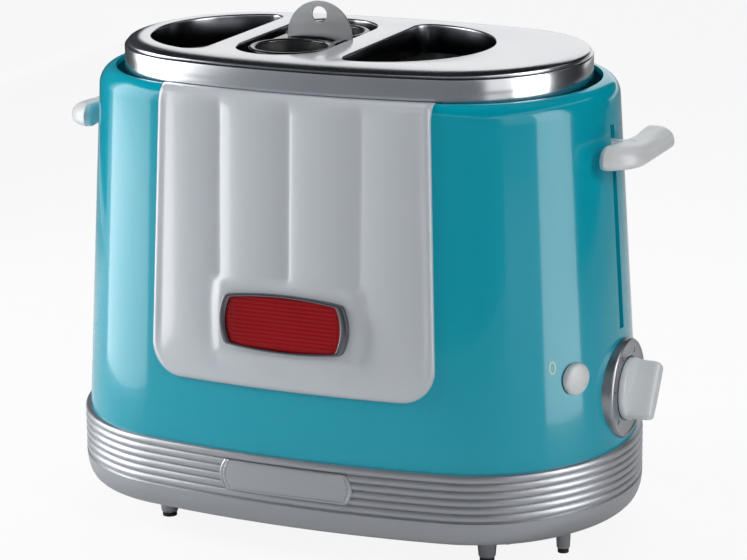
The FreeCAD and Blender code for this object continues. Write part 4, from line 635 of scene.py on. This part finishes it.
def slot_outline(bm, side, flat, end, radius, corner, grow, level):
    """A D-shaped outline, flat towards the middle, with rounded corners."""
    known = set(bm.edges)
    centre = end - radius
    inner = flat + corner
    offset = centre - inner
    high = math.sqrt((radius - corner) ** 2 - offset ** 2)
    turn = math.atan2(high, inner - centre)
    vertex = bm.verts.new((side * (end + grow), 0, level))
    vertex = spin_vertex(bm, vertex, (side * centre, 0, level), side * turn, 34)
    vertex = spin_vertex(bm, vertex, (side * inner, high, level), side * (math.pi - turn), 8)
    run_to(bm, vertex, (side * (flat - grow), 0, level), 8)
    return mirrored_ring(bm, known)


def stadium_outline(bm, x, half, end, grow, level):
    """A long round-ended outline across the toaster."""
    known = set(bm.edges)
    vertex = bm.verts.new((x + half + grow, 0, level))
    vertex = run_to(bm, vertex, (x + half + grow, end, level), 4)
    spin_vertex(bm, vertex, (x, end, level), math.pi / 2, 20)
    edges = mirrored_ring(bm, known)
    verts = ends_of(edges)
    copies = new_verts(bmesh.ops.duplicate(bm, geom=verts + edges))
    bmesh.ops.rotate(bm, verts=copies, cent=(x, 0, level), matrix=Matrix.Rotation(math.pi, 3, "Z"))
    bmesh.ops.remove_doubles(bm, verts=verts + copies, dist=0.01)
    return added(bm, known)


# %% Cover
ROLL, COLLAR_LOW, CREASE, COVER_SHEET = 0.9, 225.0, 236.2, 0.8
cover_oval = Oval(116.9, 71.0, 8.0, 39.0, 58.0)
edge_oval = Oval(115.7, 69.2, 8.0, 39.0, 57.3)
OPENINGS = ((slot_outline, -1, 59.8, 105.0, 51.0, 8.0), (stadium_outline, -25.7, 22.7, 27.3),
            (slot_outline, 1, 12.2, 68.5, 51.0, 9.0))


def draw_opening(bm, opening, grow, level):
    """Draws one of the three openings, widened by a margin."""
    outline, *sizes = opening
    return outline(bm, *sizes, grow, level)


bm = bmesh.new()
band = [cover_oval.ring(bm, level) for level in (214.0, 220.0, 228.0, CREASE - 0.8)]
band += [cover_oval.ring(bm, CREASE - 0.3, 0.35), cover_oval.ring(bm, CREASE, 1.2),
         edge_oval.ring(bm, CREASE + 0.1, 0.5)]
for turn in range(0, 91, 9):
    angle = math.radians(turn)
    rise = CREASE + 0.5 + (DECK_LEVEL - CREASE - 0.5) * math.sin(angle)
    band.append(edge_oval.mixed(deck, 1 - math.cos(angle)).ring(bm, rise))
bridge(bm, band)
outlines = [draw_opening(bm, opening, ROLL, DECK_LEVEL) for opening in OPENINGS]
bmesh.ops.triangle_fill(bm, use_beauty=True, edges=band[-1] + sum(outlines, []),
                        normal=(0, 0, 1))
for opening, outline in zip(OPENINGS, outlines):
    collar = [outline]
    for turn in (30, 60, 90):
        angle = math.radians(turn)
        level = DECK_LEVEL - ROLL * (1 - math.cos(angle))
        collar.append(draw_opening(bm, opening, ROLL * (1 - math.sin(angle)), level))
    collar.append(draw_opening(bm, opening, 0.0, COLLAR_LOW))
    bridge(bm, collar)
thicken(bm, COVER_SHEET)
finish_piece(bm, "cover", "toaster", "polished_cover", ("top_cover",), sharp=40.0, outward=False)

# %% [markdown]
# ## Base
# The base is a skirt that turns under, with six rounded beads above it. Each bead is a half wave
# sampled by a few rings. An opening for the crumb tray's front is cut through the skirt at the
# back. The floor gets its vents the way the deck got its openings, and the feet are short cones
# whose edges are bevelled.

# %% Base
BASE_LOW, BEAD_PITCH, BEAD_DEPTH, BEADS, OVERHANG, TUCK = 18.6, 3.75, 0.9, 6, 2.8, 5.0
BEAD_FOOT = BASE_TOP - BEADS * BEAD_PITCH
CRUMB_SIDES, CRUMB_LEVELS = (-84.3, 60.3), (21.1, 31.1)
BASE_WALL, SEAT_INSET = 2.4, 6.0

bm = bmesh.new()
skirt_top = BEAD_FOOT - 0.75
levels = []
for turn in range(0, 91, 15):
    angle = math.radians(turn)
    level = BASE_LOW + (skirt_top - BASE_LOW) * (1 - math.cos(angle))
    levels.append((level, TUCK * (1 - math.sin(angle))))
for bead in range(BEADS):
    for share in (0.0, 0.1, 0.25, 0.5, 0.75, 0.9):
        groove = BEAD_DEPTH * (1 - math.sin(math.pi * share) ** 0.6)
        levels.append((BEAD_FOOT + (bead + share) * BEAD_PITCH, groove))
levels += [(BASE_TOP, BEAD_DEPTH), (BASE_TOP, SEAT_INSET)]
rings = [foot.ring(bm, level, inset - OVERHANG) for level, inset in levels]
bridge(bm, rings)


def vent(bm, left, radius=2, end=15):
    """A vent slot's outline in the floor."""
    known = set(bm.edges)
    vertex = bm.verts.new((left + 2 * radius, 0, BASE_LOW))
    vertex = run_to(bm, vertex, (left + 2 * radius, end, BASE_LOW), 1)
    vertex = spin_vertex(bm, vertex, (left + radius, end, BASE_LOW), math.pi, 6)
    run_to(bm, vertex, (left, 0, BASE_LOW), 1)
    return mirrored_ring(bm, known)


vents = [vent(bm, left) for left in (82.0, 90.0, 98.0, 106.0)]
bmesh.ops.triangle_fill(bm, use_beauty=True, edges=rings[0] + sum(vents, []), normal=(0, 0, -1))
cut_planes(bm, 0, CRUMB_SIDES)
cut_planes(bm, 2, CRUMB_LEVELS)
remove_faces(bm, lambda c: c.y > 40 and CRUMB_SIDES[0] < c.x < CRUMB_SIDES[1]
             and CRUMB_LEVELS[0] < c.z < CRUMB_LEVELS[1])
thicken(bm, BASE_WALL)

# %% Feet
FEET_X, FEET_Y, FOOT_LEVEL, FOOT_TALL = 85.3, 44.5, 11.0, 18.0
CORNER_FOOT, SMALL_FOOT = (4.1, 5.6), (115.0, -20.0, 3.2, 4.0)

feet = [(sx * FEET_X, sy * FEET_Y, *CORNER_FOOT) for sx in (-1, 1) for sy in (-1, 1)]
for x, y, tip, top in feet + [SMALL_FOOT]:
    leg = bmesh.ops.create_cone(bm, cap_ends=True, segments=40, radius1=tip, radius2=top,
                                depth=FOOT_TALL, matrix=Matrix.Translation((x, y, FOOT_LEVEL)))
    ends = [edge for edge in {e for v in leg["verts"] for e in v.link_edges}
            if max(vertex.co.z for vertex in edge.verts) < FOOT_LEVEL]
    bmesh.ops.bevel(bm, geom=ends, affect="EDGES", offset=0.8, segments=3, profile=0.5, material=-1)
finish_piece(bm, "base", "toaster", "silver_paint", ("base_housing",), sharp=48.0, outward=False)

# %% [markdown]
# ## Badge
# The badge is a thin dark metal frame with bowed sides round a red lens. The frame is one closed
# loop of ovals: a larger one climbs the outside, one between the two lies on the crown, and a
# smaller one goes down the inside. The lens is a fine grid whose rows rise and fall as ribs, with a
# column of beads near each end. Both lean back with the wall of the shell.


# %% Leaning with the wall
WALL_LEAN = math.atan((foot.depth - shoulder.depth) / (SHOULDER_LEVEL - BASE_TOP))
print("the wall leans back by", round(math.degrees(WALL_LEAN), 1), "degrees")


def lean_onto_front(bm, level, proud):
    """Tilts what was drawn round the origin back with the wall and sets it on the front."""
    turn_all(bm, -WALL_LEAN, "X")
    front = wall_oval(level).depth + proud
    bmesh.ops.translate(bm, verts=bm.verts, vec=(0, -front, level))


# %% Badge frame
BADGE_LEVEL, BADGE_BACK = 119.2, 3.3
badge_outer = Oval(33.0, 14.0, 2.2, 3.0, 2.6)
badge_inner = Oval(29.6, 12.8, 1.9, 2.6, 2.0)

bm = bmesh.new()
crown = badge_outer.mixed(badge_inner, 0.5)
outside = ((-0.8, 0.0), (1.7, 0.0), (2.0, 0.12), (2.12, 0.4))
inside = ((2.12, -0.4), (2.0, -0.12), (1.7, 0.0), (0.4, 0.0))
frame_rings = [badge_outer.ring(bm, level, inset) for level, inset in outside]
frame_rings += [crown.ring(bm, 2.2)]
frame_rings += [badge_inner.ring(bm, level, inset) for level, inset in inside]
bridge(bm, frame_rings + frame_rings[:1])
turn_all(bm, math.pi / 2, "X")
lean_onto_front(bm, BADGE_LEVEL, BADGE_BACK)
finish_piece(bm, "badge_surround", "toaster", "dark_chrome", ("badge_frame",), sharp=40.0)

# %% Badge lens
LENS_WIDE, LENS_TALL, LENS_SINK, RIB_PITCH, RIB_RISE = 31.2, 13.3, 1.3, 1.95, 0.2
LENS_BOW_X, LENS_BOW_Z, BEAD_COLUMN, BEAD_HALF = 2.6, 1.7, 27.2, 0.75


def upright_grid(bm, columns, rows):
    """A grid from -1 to 1 that stands facing the front."""
    bmesh.ops.create_grid(bm, x_segments=columns, y_segments=rows, size=1.0,
                          matrix=Matrix.Rotation(math.pi / 2, 4, "X"))


def lens_relief(x, z):
    """Height of the ribs, with a column of beads near each end."""
    ridge = 0.5 + 0.5 * math.cos(2 * math.pi * z / RIB_PITCH)
    away = abs(abs(x) - BEAD_COLUMN)
    bead = max(0.0, 1 - (away / BEAD_HALF) ** 2)
    notch = 1 - ease((1.3 - away) / 0.5)
    return RIB_RISE * (ridge * notch + bead * (0.4 + 0.9 * ridge))


bm = bmesh.new()
upright_grid(bm, 120, 112)
for vertex in bm.verts:
    u, v = vertex.co.x, vertex.co.z
    wide = LENS_WIDE - LENS_BOW_X * v * v
    tall = LENS_TALL - LENS_BOW_Z * u * u
    x, z = u * wide, v * tall
    vertex.co = (x, -LENS_SINK - lens_relief(x, z) + 0.5 * max(abs(u), abs(v)) ** 10, z)
lean_onto_front(bm, BADGE_LEVEL, BADGE_BACK)
finish_piece(bm, "badge_window", "toaster", "red_lens", ("badge_lens",), sharp=60.0)

# %% [markdown]
# ## Plaque
# The plaque on the base has bowed ends with a row of fine teeth inside each of them. It is a fine
# grid squeezed to that outline. Each point is laid on the oval of the base and raised by the rim
# and the teeth, and the outline is then extruded back into the base.

# %% Plaque
PLAQUE_WIDE, PLAQUE_TALL, PLAQUE_LEVEL, PLAQUE_BOW, PLAQUE_LIP = 34.5, 7.5, 42.35, 3.0, 1.4
PLAQUE_RISE, TOOTH_PLACE, TOOTH_HALF, TOOTH_PITCH, TOOTH_RISE = 0.35, 2.6, 0.9, 1.9, 0.35

bm = bmesh.new()
upright_grid(bm, 140, 34)
for vertex in bm.verts:
    u, v = vertex.co.x, vertex.co.z
    wide = PLAQUE_WIDE - PLAQUE_BOW * v * v
    side = math.copysign(1 - (1 - abs(u)) ** 1.3, u)
    x, z = side * wide, v * PLAQUE_TALL
    edge = min(wide - abs(x), PLAQUE_TALL - abs(z))
    column = max(0.0, 1 - abs(wide - abs(x) - TOOTH_PLACE) / TOOTH_HALF)
    teeth = column * (0.5 + 0.5 * math.cos(2 * math.pi * z / TOOTH_PITCH))
    level = PLAQUE_RISE * ease(edge / 0.8) - 0.25 * ease((edge - 0.9) / 0.5) + TOOTH_RISE * teeth
    vertex.co = (x, -foot.front_y(x, -OVERHANG) - level, z + PLAQUE_LEVEL)
draw_back(bm, PLAQUE_LIP)
finish_piece(bm, "plaque", "toaster", "plaque", ("base_plaque",), sharp=50.0)

# %% [markdown]
# ## Lever handles
# Each lever ends in a moulded handle outside the shell. Seen from above it is a bar with a lobe at
# the front that turns in towards the shell. Its outer face slopes and rounds over to a narrow top,
# so the outline is drawn once per level and squeezed towards the inner side as it rises. The lobe
# then swells upwards a little and the bar behind it dips. A short white neck joins the handle to
# the lever through the slot. The left handle is the right one mirrored.


# %% Handles
HANDLE_IN, HANDLE_OUT, HANDLE_HOOK = 137.1, 150.4, 133.6
HANDLE_FRONT, HANDLE_BACK, HANDLE_BEND, HANDLE_CORNER = -29.0, 35.5, 20.0, 3.0
HANDLE_SWELL, LOBE_START, LOBE_RUN = 1.2, -6.0, 18.0
HANDLE_DIP, DIP_MIDDLE, DIP_HALF = 1.3, 12.0, 20.0
HANDLE_LEVELS = ((190.5, 0.80, 0.93), (190.8, 0.89, 0.955), (191.7, 0.97, 0.98),
                 (193.2, 1.0, 0.995), (195.4, 0.99, 1.0), (197.0, 0.95, 0.99),
                 (198.4, 0.87, 0.97), (199.5, 0.75, 0.945), (200.2, 0.61, 0.92),
                 (200.5, 0.47, 0.90))
HANDLE_TALL = 10.0
NECK_PLACE, NECK_SIZE = (132.5, 0, 195.5), (13.0, 4.5, 9.4)


def handle_outline(bm, level, wide, long):
    """The handle from above, squeezed towards its inner side by one share, in length by another."""
    known = set(bm.edges)
    centre = (HANDLE_OUT - HANDLE_BEND, HANDLE_FRONT + HANDLE_BEND, level)
    start = bm.verts.new((HANDLE_HOOK, HANDLE_FRONT + 2.4, level))
    vertex = run_to(bm, start, (HANDLE_HOOK + 2.2, HANDLE_FRONT + 0.8, level), 3)
    from_centre = vertex.co - Vector(centre)
    turn = -math.atan2(from_centre.y, from_centre.x)
    vertex = spin_vertex(bm, vertex, centre, turn, 16)
    vertex = run_to(bm, vertex, (vertex.co.x, HANDLE_BACK - HANDLE_CORNER, level), 8)
    corner = (vertex.co.x - HANDLE_CORNER, HANDLE_BACK - HANDLE_CORNER, level)
    vertex = spin_vertex(bm, vertex, corner, math.pi / 2, 6)
    vertex = run_to(bm, vertex, (HANDLE_IN + 1.5, HANDLE_BACK, level), 4)
    corner = (HANDLE_IN + 1.5, HANDLE_BACK - 1.5, level)
    vertex = spin_vertex(bm, vertex, corner, math.pi / 2, 4)
    vertex = run_to(bm, vertex, (HANDLE_IN, -6.0, level), 10)
    vertex = run_to(bm, vertex, (HANDLE_HOOK, -24.8, level), 6)
    run_to(bm, vertex, (HANDLE_HOOK, HANDLE_FRONT + 2.4, level), 1)
    verts = ends_of(added(bm, known))
    middle = Vector((HANDLE_IN, HANDLE_BACK - 8.0, level))
    bmesh.ops.scale(bm, vec=(wide, long, 1.0), space=Matrix.Translation(-middle), verts=verts)
    bmesh.ops.remove_doubles(bm, verts=verts, dist=MERGE)
    return added(bm, known)


def neck(bm):
    """A rounded white bar from inside the slot to the handle."""
    bar = bmesh.ops.create_cube(bm, size=1.0, matrix=sized(NECK_PLACE, NECK_SIZE))
    edges = list({edge for v in bar["verts"] for edge in v.link_edges})
    bmesh.ops.bevel(bm, geom=edges, affect="EDGES", offset=0.9, segments=3, profile=0.5,
                    material=-1)


def swell(bm):
    """Raises the front lobe and lowers the bar behind it, more towards the top."""
    for vertex in bm.verts:
        share = (vertex.co.z - HANDLE_LEVELS[0][0]) / HANDLE_TALL
        lobe = ease((LOBE_START - vertex.co.y) / LOBE_RUN)
        hollow = ease((DIP_HALF - abs(vertex.co.y - DIP_MIDDLE)) / DIP_HALF)
        vertex.co.z += share * (HANDLE_SWELL * lobe - HANDLE_DIP * hollow)


for side, word in ((1, "right"), (-1, "left")):
    bm = bmesh.new()
    stack = [handle_outline(bm, *row) for row in HANDLE_LEVELS]
    bridge(bm, stack)
    swell(bm)
    cap(bm, stack)
    neck(bm)
    bmesh.ops.scale(bm, vec=(side, 1, 1), verts=bm.verts)
    finish_piece(bm, "handle_" + word, "carriage", "white_plastic", ("lever_handle_" + word,))

# %% [markdown]
# ## Dial, knob and stop button
# Round parts are half profiles spun round an axis. Each profile is drawn with its axis upright and
# then turned to face +X. The dial's plate is satin metal with a rolled rim and dark numbers. Its
# face lies only a little below the rim, because the wall behind it leans out towards its foot.
# The knob is a disc with a thick grip across it, and the stop button is a low dome beside it.


# %% Spinning a profile
def lathe(bm, profile, steps=96):
    """Spins (radius, height) points round the upright axis into a closed skin."""
    known = set(bm.edges)
    vertex = bm.verts.new((profile[0][0], 0, profile[0][1]))
    for radius, height in profile[1:]:
        vertex = run_to(bm, vertex, (radius, 0, height), 1)
    edges = added(bm, known)
    bmesh.ops.spin(bm, geom=ends_of(edges) + edges, cent=(0, 0, 0), axis=(0, 0, 1),
                   angle=2 * math.pi, steps=steps, use_merge=True)
    bmesh.ops.remove_doubles(bm, verts=bm.verts, dist=MERGE)


def turn_to(bm, outward, place, lean=0.0):
    """Turns what was drawn upright so that it looks along a level direction, and moves it there."""
    tip = Matrix.Rotation(math.pi / 2 - lean, 3, "Y")
    matrix = Matrix.Rotation(math.atan2(outward[1], outward[0]), 3, "Z") @ tip
    bmesh.ops.rotate(bm, verts=bm.verts, cent=(0, 0, 0), matrix=matrix)
    bmesh.ops.translate(bm, verts=bm.verts, vec=place)


# %% Dial plate
DIAL_LEVEL, DIAL_FACE = 79.5, 140.4

bm = bmesh.new()
lathe(bm, [(15.6, -5.6), (24.2, -5.6), (24.2, -1.6), (24.0, -0.9), (23.6, -0.3), (23.2, 0.0),
           (22.8, 0.0), (22.4, -0.2), (22.2, -0.35), (21.9, -0.45), (15.6, -0.45), (15.6, -5.6)])
turn_to(bm, (1, 0), (DIAL_FACE, 0, DIAL_LEVEL))
finish_piece(bm, "dial_plate", "toaster", "bezel_metal", ("dial_bezel",), sharp=40.0)

# %% Dial numbers
MARKS, MARK_RADIUS, FIRST_TURN, TURN_STEP = 6, 18.6, 135.0, 54.0

bm = bmesh.new()
for mark in range(MARKS):
    words = bpy.data.curves.new("number", "FONT")
    words.body, words.size, words.align_x, words.align_y = str(mark), 3.6, "CENTER", "CENTER"
    words.extrude = 0.04
    holder = bpy.data.objects.new("number", words)
    bpy.context.scene.collection.objects.link(holder)
    bpy.context.view_layer.update()
    drawn = bpy.data.meshes.new_from_object(holder)
    bpy.data.objects.remove(holder)
    turn = math.radians(FIRST_TURN - mark * TURN_STEP)
    place = Matrix.Rotation(turn, 4, "Z") @ Matrix.Translation((0, MARK_RADIUS, -0.4))
    drawn.transform(Matrix.Rotation(math.pi / 2, 4, "Z") @ place)
    bm.from_mesh(drawn)
turn_to(bm, (1, 0), (DIAL_FACE, 0, DIAL_LEVEL))
finish_piece(bm, "dial_numbers", "toaster", "black_plastic", finish=ink_and_gap_shade)

# %% Knob
GRIP_TURN = math.radians(-33.0)
grip_oval = Oval(14.6, 4.7, 0.5, 1.2, 1.9)

bm = bmesh.new()
lathe(bm, [(0.0, -0.6), (13.0, -0.6), (14.7, -0.5), (15.0, -0.1), (15.0, 1.9), (14.8, 2.4),
           (14.2, 2.75), (13.0, 2.8), (0.0, 2.8)])
grip = [grip_oval.ring(bm, level, inset)
        for level, inset in ((2.0, -0.5), (2.9, -0.15), (4.0, 0.0), (10.5, 0.15), (12.4, 0.45),
                             (13.5, 1.0), (14.1, 1.75))]
bridge(bm, grip)
cap(bm, grip)
turn_to(bm, (1, 0), (DIAL_FACE, 0, 0))
turn_all(bm, GRIP_TURN, "X")
bmesh.ops.translate(bm, verts=bm.verts, vec=(0, 0, DIAL_LEVEL))
finish_piece(bm, "knob", "dial", "white_plastic", ("dial_knob",), sharp=50.0)

# %% Stop button and its mark
BUTTON_LEVEL, BUTTON_TURN, MARK_TURN, MARK_LEVEL = 94.2, math.radians(24.8), 0.63, 101.6


def on_corner(level, turn, proud):
    """A point on the shell's front right corner and the level direction in which it faces."""
    oval = wall_oval(level)
    outward = Vector((math.cos(turn), -math.sin(turn), 0))
    return Vector((oval.corner_x, -oval.corner_y, level)) + outward * (oval.corner + proud), outward


place, outward = on_corner(BUTTON_LEVEL, BUTTON_TURN, 0.0)
bm = bmesh.new()
lathe(bm, [(0.0, -3.0), (7.6, -3.0), (7.7, 0.9), (7.6, 1.6), (7.2, 2.2), (6.4, 2.65),
           (4.5, 2.95), (2.2, 3.1), (0.0, 3.15)], 64)
turn_to(bm, outward, place)
finish_piece(bm, "stop_key", "stop_button", "white_plastic", ("stop_button",), sharp=50.0)

# A thin dark ring round the stop button: painted shade of the gap between button and shell, which
# has no hole there.
bm = bmesh.new()
lathe(bm, [(7.85, -1.6), (8.5, -1.6), (8.5, 0.05), (8.3, 0.12), (7.85, 0.12), (7.85, -1.6)], 64)
for vertex in bm.verts:
    vertex.co.z -= vertex.co.y ** 2 / (2 * foot.corner)
turn_to(bm, outward, place, WALL_LEAN)
finish_piece(bm, "stop_key_gap_shade", "toaster", "black_plastic", finish=ink_and_gap_shade)

place, outward = on_corner(MARK_LEVEL, MARK_TURN, 0.0)
bm = bmesh.new()
loops = []
ZERO_RINGS = ((-0.3, 2.0, 3.25), (0.1, 2.0, 3.25), (0.1, 1.15, 2.4), (-0.3, 1.15, 2.4))
for height, wide, tall in ZERO_RINGS:
    known = set(bm.edges)
    bmesh.ops.create_circle(bm, cap_ends=False, segments=48, radius=1.0,
                            matrix=sized((0, 0, height), (tall, wide, 1.0)))
    loops.append(added(bm, known))
bridge(bm, loops + loops[:1])
turn_to(bm, outward, place, WALL_LEAN)
finish_piece(bm, "zero_mark", "toaster", "white_plastic", finish=pale_ink)

# %% [markdown]
# ## Rims of the sausage basket
# The two holes of the basket's plate have rolled rims, and a low saddle lies between them in front
# of the tab. A rim is an oval section spun round its hole, and the saddle is a squashed ball.


# %% Basket rims
BASKET_X, HOLE_Y, PLATE_LEVEL = -24.5, 21.0, 237.2
RIM_RADIUS, RIM_HALF, RIM_TALL = 19.15, 1.5, 0.95
SADDLE = (13.0, 3.3, 2.4)

bm = bmesh.new()
section = [math.radians(turn) for turn in range(0, 361, 15)]
lathe(bm, [(RIM_RADIUS + RIM_HALF * math.cos(turn), RIM_TALL * math.sin(turn))
           for turn in section])
bmesh.ops.translate(bm, verts=bm.verts, vec=(BASKET_X, HOLE_Y, PLATE_LEVEL))
rear = bmesh.ops.duplicate(bm, geom=bm.verts[:] + bm.edges[:] + bm.faces[:])
bmesh.ops.translate(bm, verts=new_verts(rear), vec=(0, -2 * HOLE_Y, 0))
bmesh.ops.create_uvsphere(bm, u_segments=48, v_segments=24, radius=1.0,
                          matrix=sized((BASKET_X + 1.0, 0, PLATE_LEVEL), SADDLE))
finish_piece(bm, "basket_rims", "basket", "polished_cover", finish=dark_chrome)

# %% [markdown]
# ## Return springs
# The springs push the carriage back up. Their shape is right in the CAD model, so each piece is a
# copy of its mesh, and the piece stands on the floor of the base.


for word in ("left", "right"):
    node = "return_spring_" + word
    bm = bmesh.new()
    bm.from_mesh(frame["nodes"][node].data)
    bmesh.ops.scale(bm, vec=(1 / MM, 1 / MM, 1 / MM), verts=bm.verts)
    spring = finish_piece(bm, "spring_" + word, "toaster", "wire", (node,), sharp=60.0)
    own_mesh(spring)

# %% [markdown]
# ## Camera, floor and light
# The camera looks down on the toaster from the front right through a long lens. The floor is plain
# and pale and glows a little to the camera alone, so that it looks white and still takes a shadow.

# %% Camera
WIDTH, FOCAL_PIXELS, SENSOR = 747.0, 2894.1, 36.0
eye, aim, roll = Vector((563.1, -1254.5, 491.1)), Vector((104.1, -217.6, 184.1)), math.radians(-0.6)
forward = (aim - eye).normalized()
level_right = forward.cross(Vector((0, 0, 1))).normalized()
level_up = level_right.cross(forward)
right = level_right * math.cos(roll) + level_up * math.sin(roll)
up = level_up * math.cos(roll) - level_right * math.sin(roll)
camera_data = bpy.data.cameras.new("camera")
camera_data.sensor_width = SENSOR
camera_data.lens = FOCAL_PIXELS / WIDTH * SENSOR
camera_data.clip_end = 50.0
camera = bpy.data.objects.new("camera", camera_data)
axes = Matrix((right, up, -forward)).transposed().to_4x4()
camera.matrix_world = Matrix.Translation(eye * MM) @ axes
bpy.context.scene.collection.objects.link(camera)
bpy.context.scene.camera = camera
bpy.context.scene.view_settings.view_transform = "Standard"
print("camera at", [round(part) for part in eye], "mm")


# %% Floor
FLOOR_GLOW = 0.9

bm = bmesh.new()
bmesh.ops.create_grid(bm, x_segments=8, y_segments=8, size=6.0)
floor = as_object(bm, "floor")
floor_finish = Finish("pale_floor", Roughness=0.9)
cloud = floor_finish.noise(2.0)
floor_finish.feed(Base_Color=cloud.mix(colour("#f4f4f4"), colour("#fbfbfb")))
floor.data.materials.append(floor_finish.material)
floor_finish.for_camera(FLOOR_GLOW, "ShaderNodeEmission",
                        {"Color": (1.0, 1.0, 1.0, 1.0), "Strength": 1.0})
print("floor", round(floor.dimensions.x), "m wide")

# %% [markdown]
# ## Screens
# Gloss and metal show what stands round them, and in an all-white room they look chalky. A studio
# puts up grey screens for them to mirror. Here one stands in front, at the back and on each side,
# and a dark one hangs above. They let camera rays through, so that only reflections show them. The
# one above makes the cover's shoulder dark, and the deck as well when it is seen from high up.


# %% Screens
def screen(name, size, place, axis, shade):
    """A grey cloth, lying flat or stood up by a quarter turn about an axis."""
    bm = bmesh.new()
    bmesh.ops.create_grid(bm, x_segments=4, y_segments=4, size=0.5)
    bmesh.ops.scale(bm, vec=(*size, 1), verts=bm.verts)
    if axis:
        turn_all(bm, math.pi / 2, axis)
    bmesh.ops.translate(bm, verts=bm.verts, vec=place)
    cloth = as_object(bm, name)
    finish = Finish(name, Roughness=0.95)
    weave = finish.noise(40.0)
    finish.feed(Base_Color=weave.mix(colour(shade, 0.85), colour(shade, 1.15)))
    cloth.data.materials.append(finish.material)
    finish.for_camera(1.0, "ShaderNodeBsdfTransparent", {})


screen("front_screen", (1.24, 0.62), (0.1, -0.62, 0.32), "X", "#9fa1a5")
screen("top_screen", (2.2, 2.8), (-0.2, 0.3, 1.15), None, "#242529")
screen("back_screen", (1.1, 0.9), (0.6, 1.45, 0.75), "X", "#28292d")
screen("right_screen", (0.8, 1.3), (0.75, 0.75, 0.42), "Y", "#2c2e32")
screen("left_screen", (0.8, 1.0), (-0.75, 0.62, 0.42), "Y", "#4c4e52")
print("screens stood up")

# %% [markdown]
# ## World and lamps
# The world is white to the camera, to mirrors and through glass, but dim to everything else, so
# that it does not flood the colours. Two lamps light only the gloss, where they draw an upright
# stripe on each side, and three light only the matt surface, which keeps hot spots off the gloss.

# %% World
DIM_WORLD = 0.26

world = bpy.data.worlds.new("world")
bpy.context.scene.world = world
world.use_nodes = True
world_tree = world.node_tree
background = world_tree.nodes["Background"]
background.inputs["Color"].default_value = (1.0, 1.0, 1.0, 1.0)
start = Signal(world_tree)
seen = [start.add("ShaderNodeLightPath", {}, {}, name)
        for name in ("Is Camera Ray", "Is Glossy Ray", "Is Transmission Ray")]
white_share = seen[0].math("MAXIMUM", seen[0], seen[1].math("MAXIMUM", seen[1], seen[2]))
world_tree.links.new((white_share * (1 - DIM_WORLD) + DIM_WORLD).socket,
                     background.inputs["Strength"])
print("world: 1 to camera, mirrors and glass,", DIM_WORLD, "to the rest")


# %% Lamps
def lamp(name, spot, target, size, watts, lights):
    """A soft rectangular lamp that looks at a point and lights the gloss or the matt surface."""
    data = bpy.data.lights.new(name, "AREA")
    data.shape, data.size, data.size_y, data.energy = "RECTANGLE", size[0], size[1], watts
    thing = bpy.data.objects.new(name, data)
    thing.location = spot
    thing.rotation_euler = (Vector(target) - Vector(spot)).to_track_quat("-Z", "Y").to_euler()
    thing.visible_camera = False
    thing.visible_diffuse = lights != "gloss"
    thing.visible_glossy = lights != "matt"
    bpy.context.scene.collection.objects.link(thing)


lamp("left_stripe", (-0.40, -0.17, 0.23), (-0.08, -0.05, 0.23), (0.33, 0.46), 1.6, "gloss")
lamp("right_stripe", (0.46, -0.02, 0.23), (0.12, -0.04, 0.23), (0.2, 0.46), 1.0, "gloss")
lamp("left_key", (-1.3, -0.45, 0.75), (0, 0, 0.14), (0.6, 0.8), 15.0, "matt")
lamp("right_fill", (1.2, -0.9, 0.9), (0, 0, 0.14), (0.6, 0.6), 9.0, "matt")
lamp("top_softbox", (0.0, 0.3, 1.1), (0, 0, 0.1), (1.0, 0.9), 7.0, "matt")
print("lamps hung")

# %% Finishes of the CAD nodes that stay
slots = {part["node"]: part["material_slot"] for part in frame["record"]["subparts"]}
for node, thing in frame["nodes"].items():
    thing.data.materials.clear()
    thing.data.materials.append(FINISHES[slots[node]])
print("nodes painted:", len(slots))
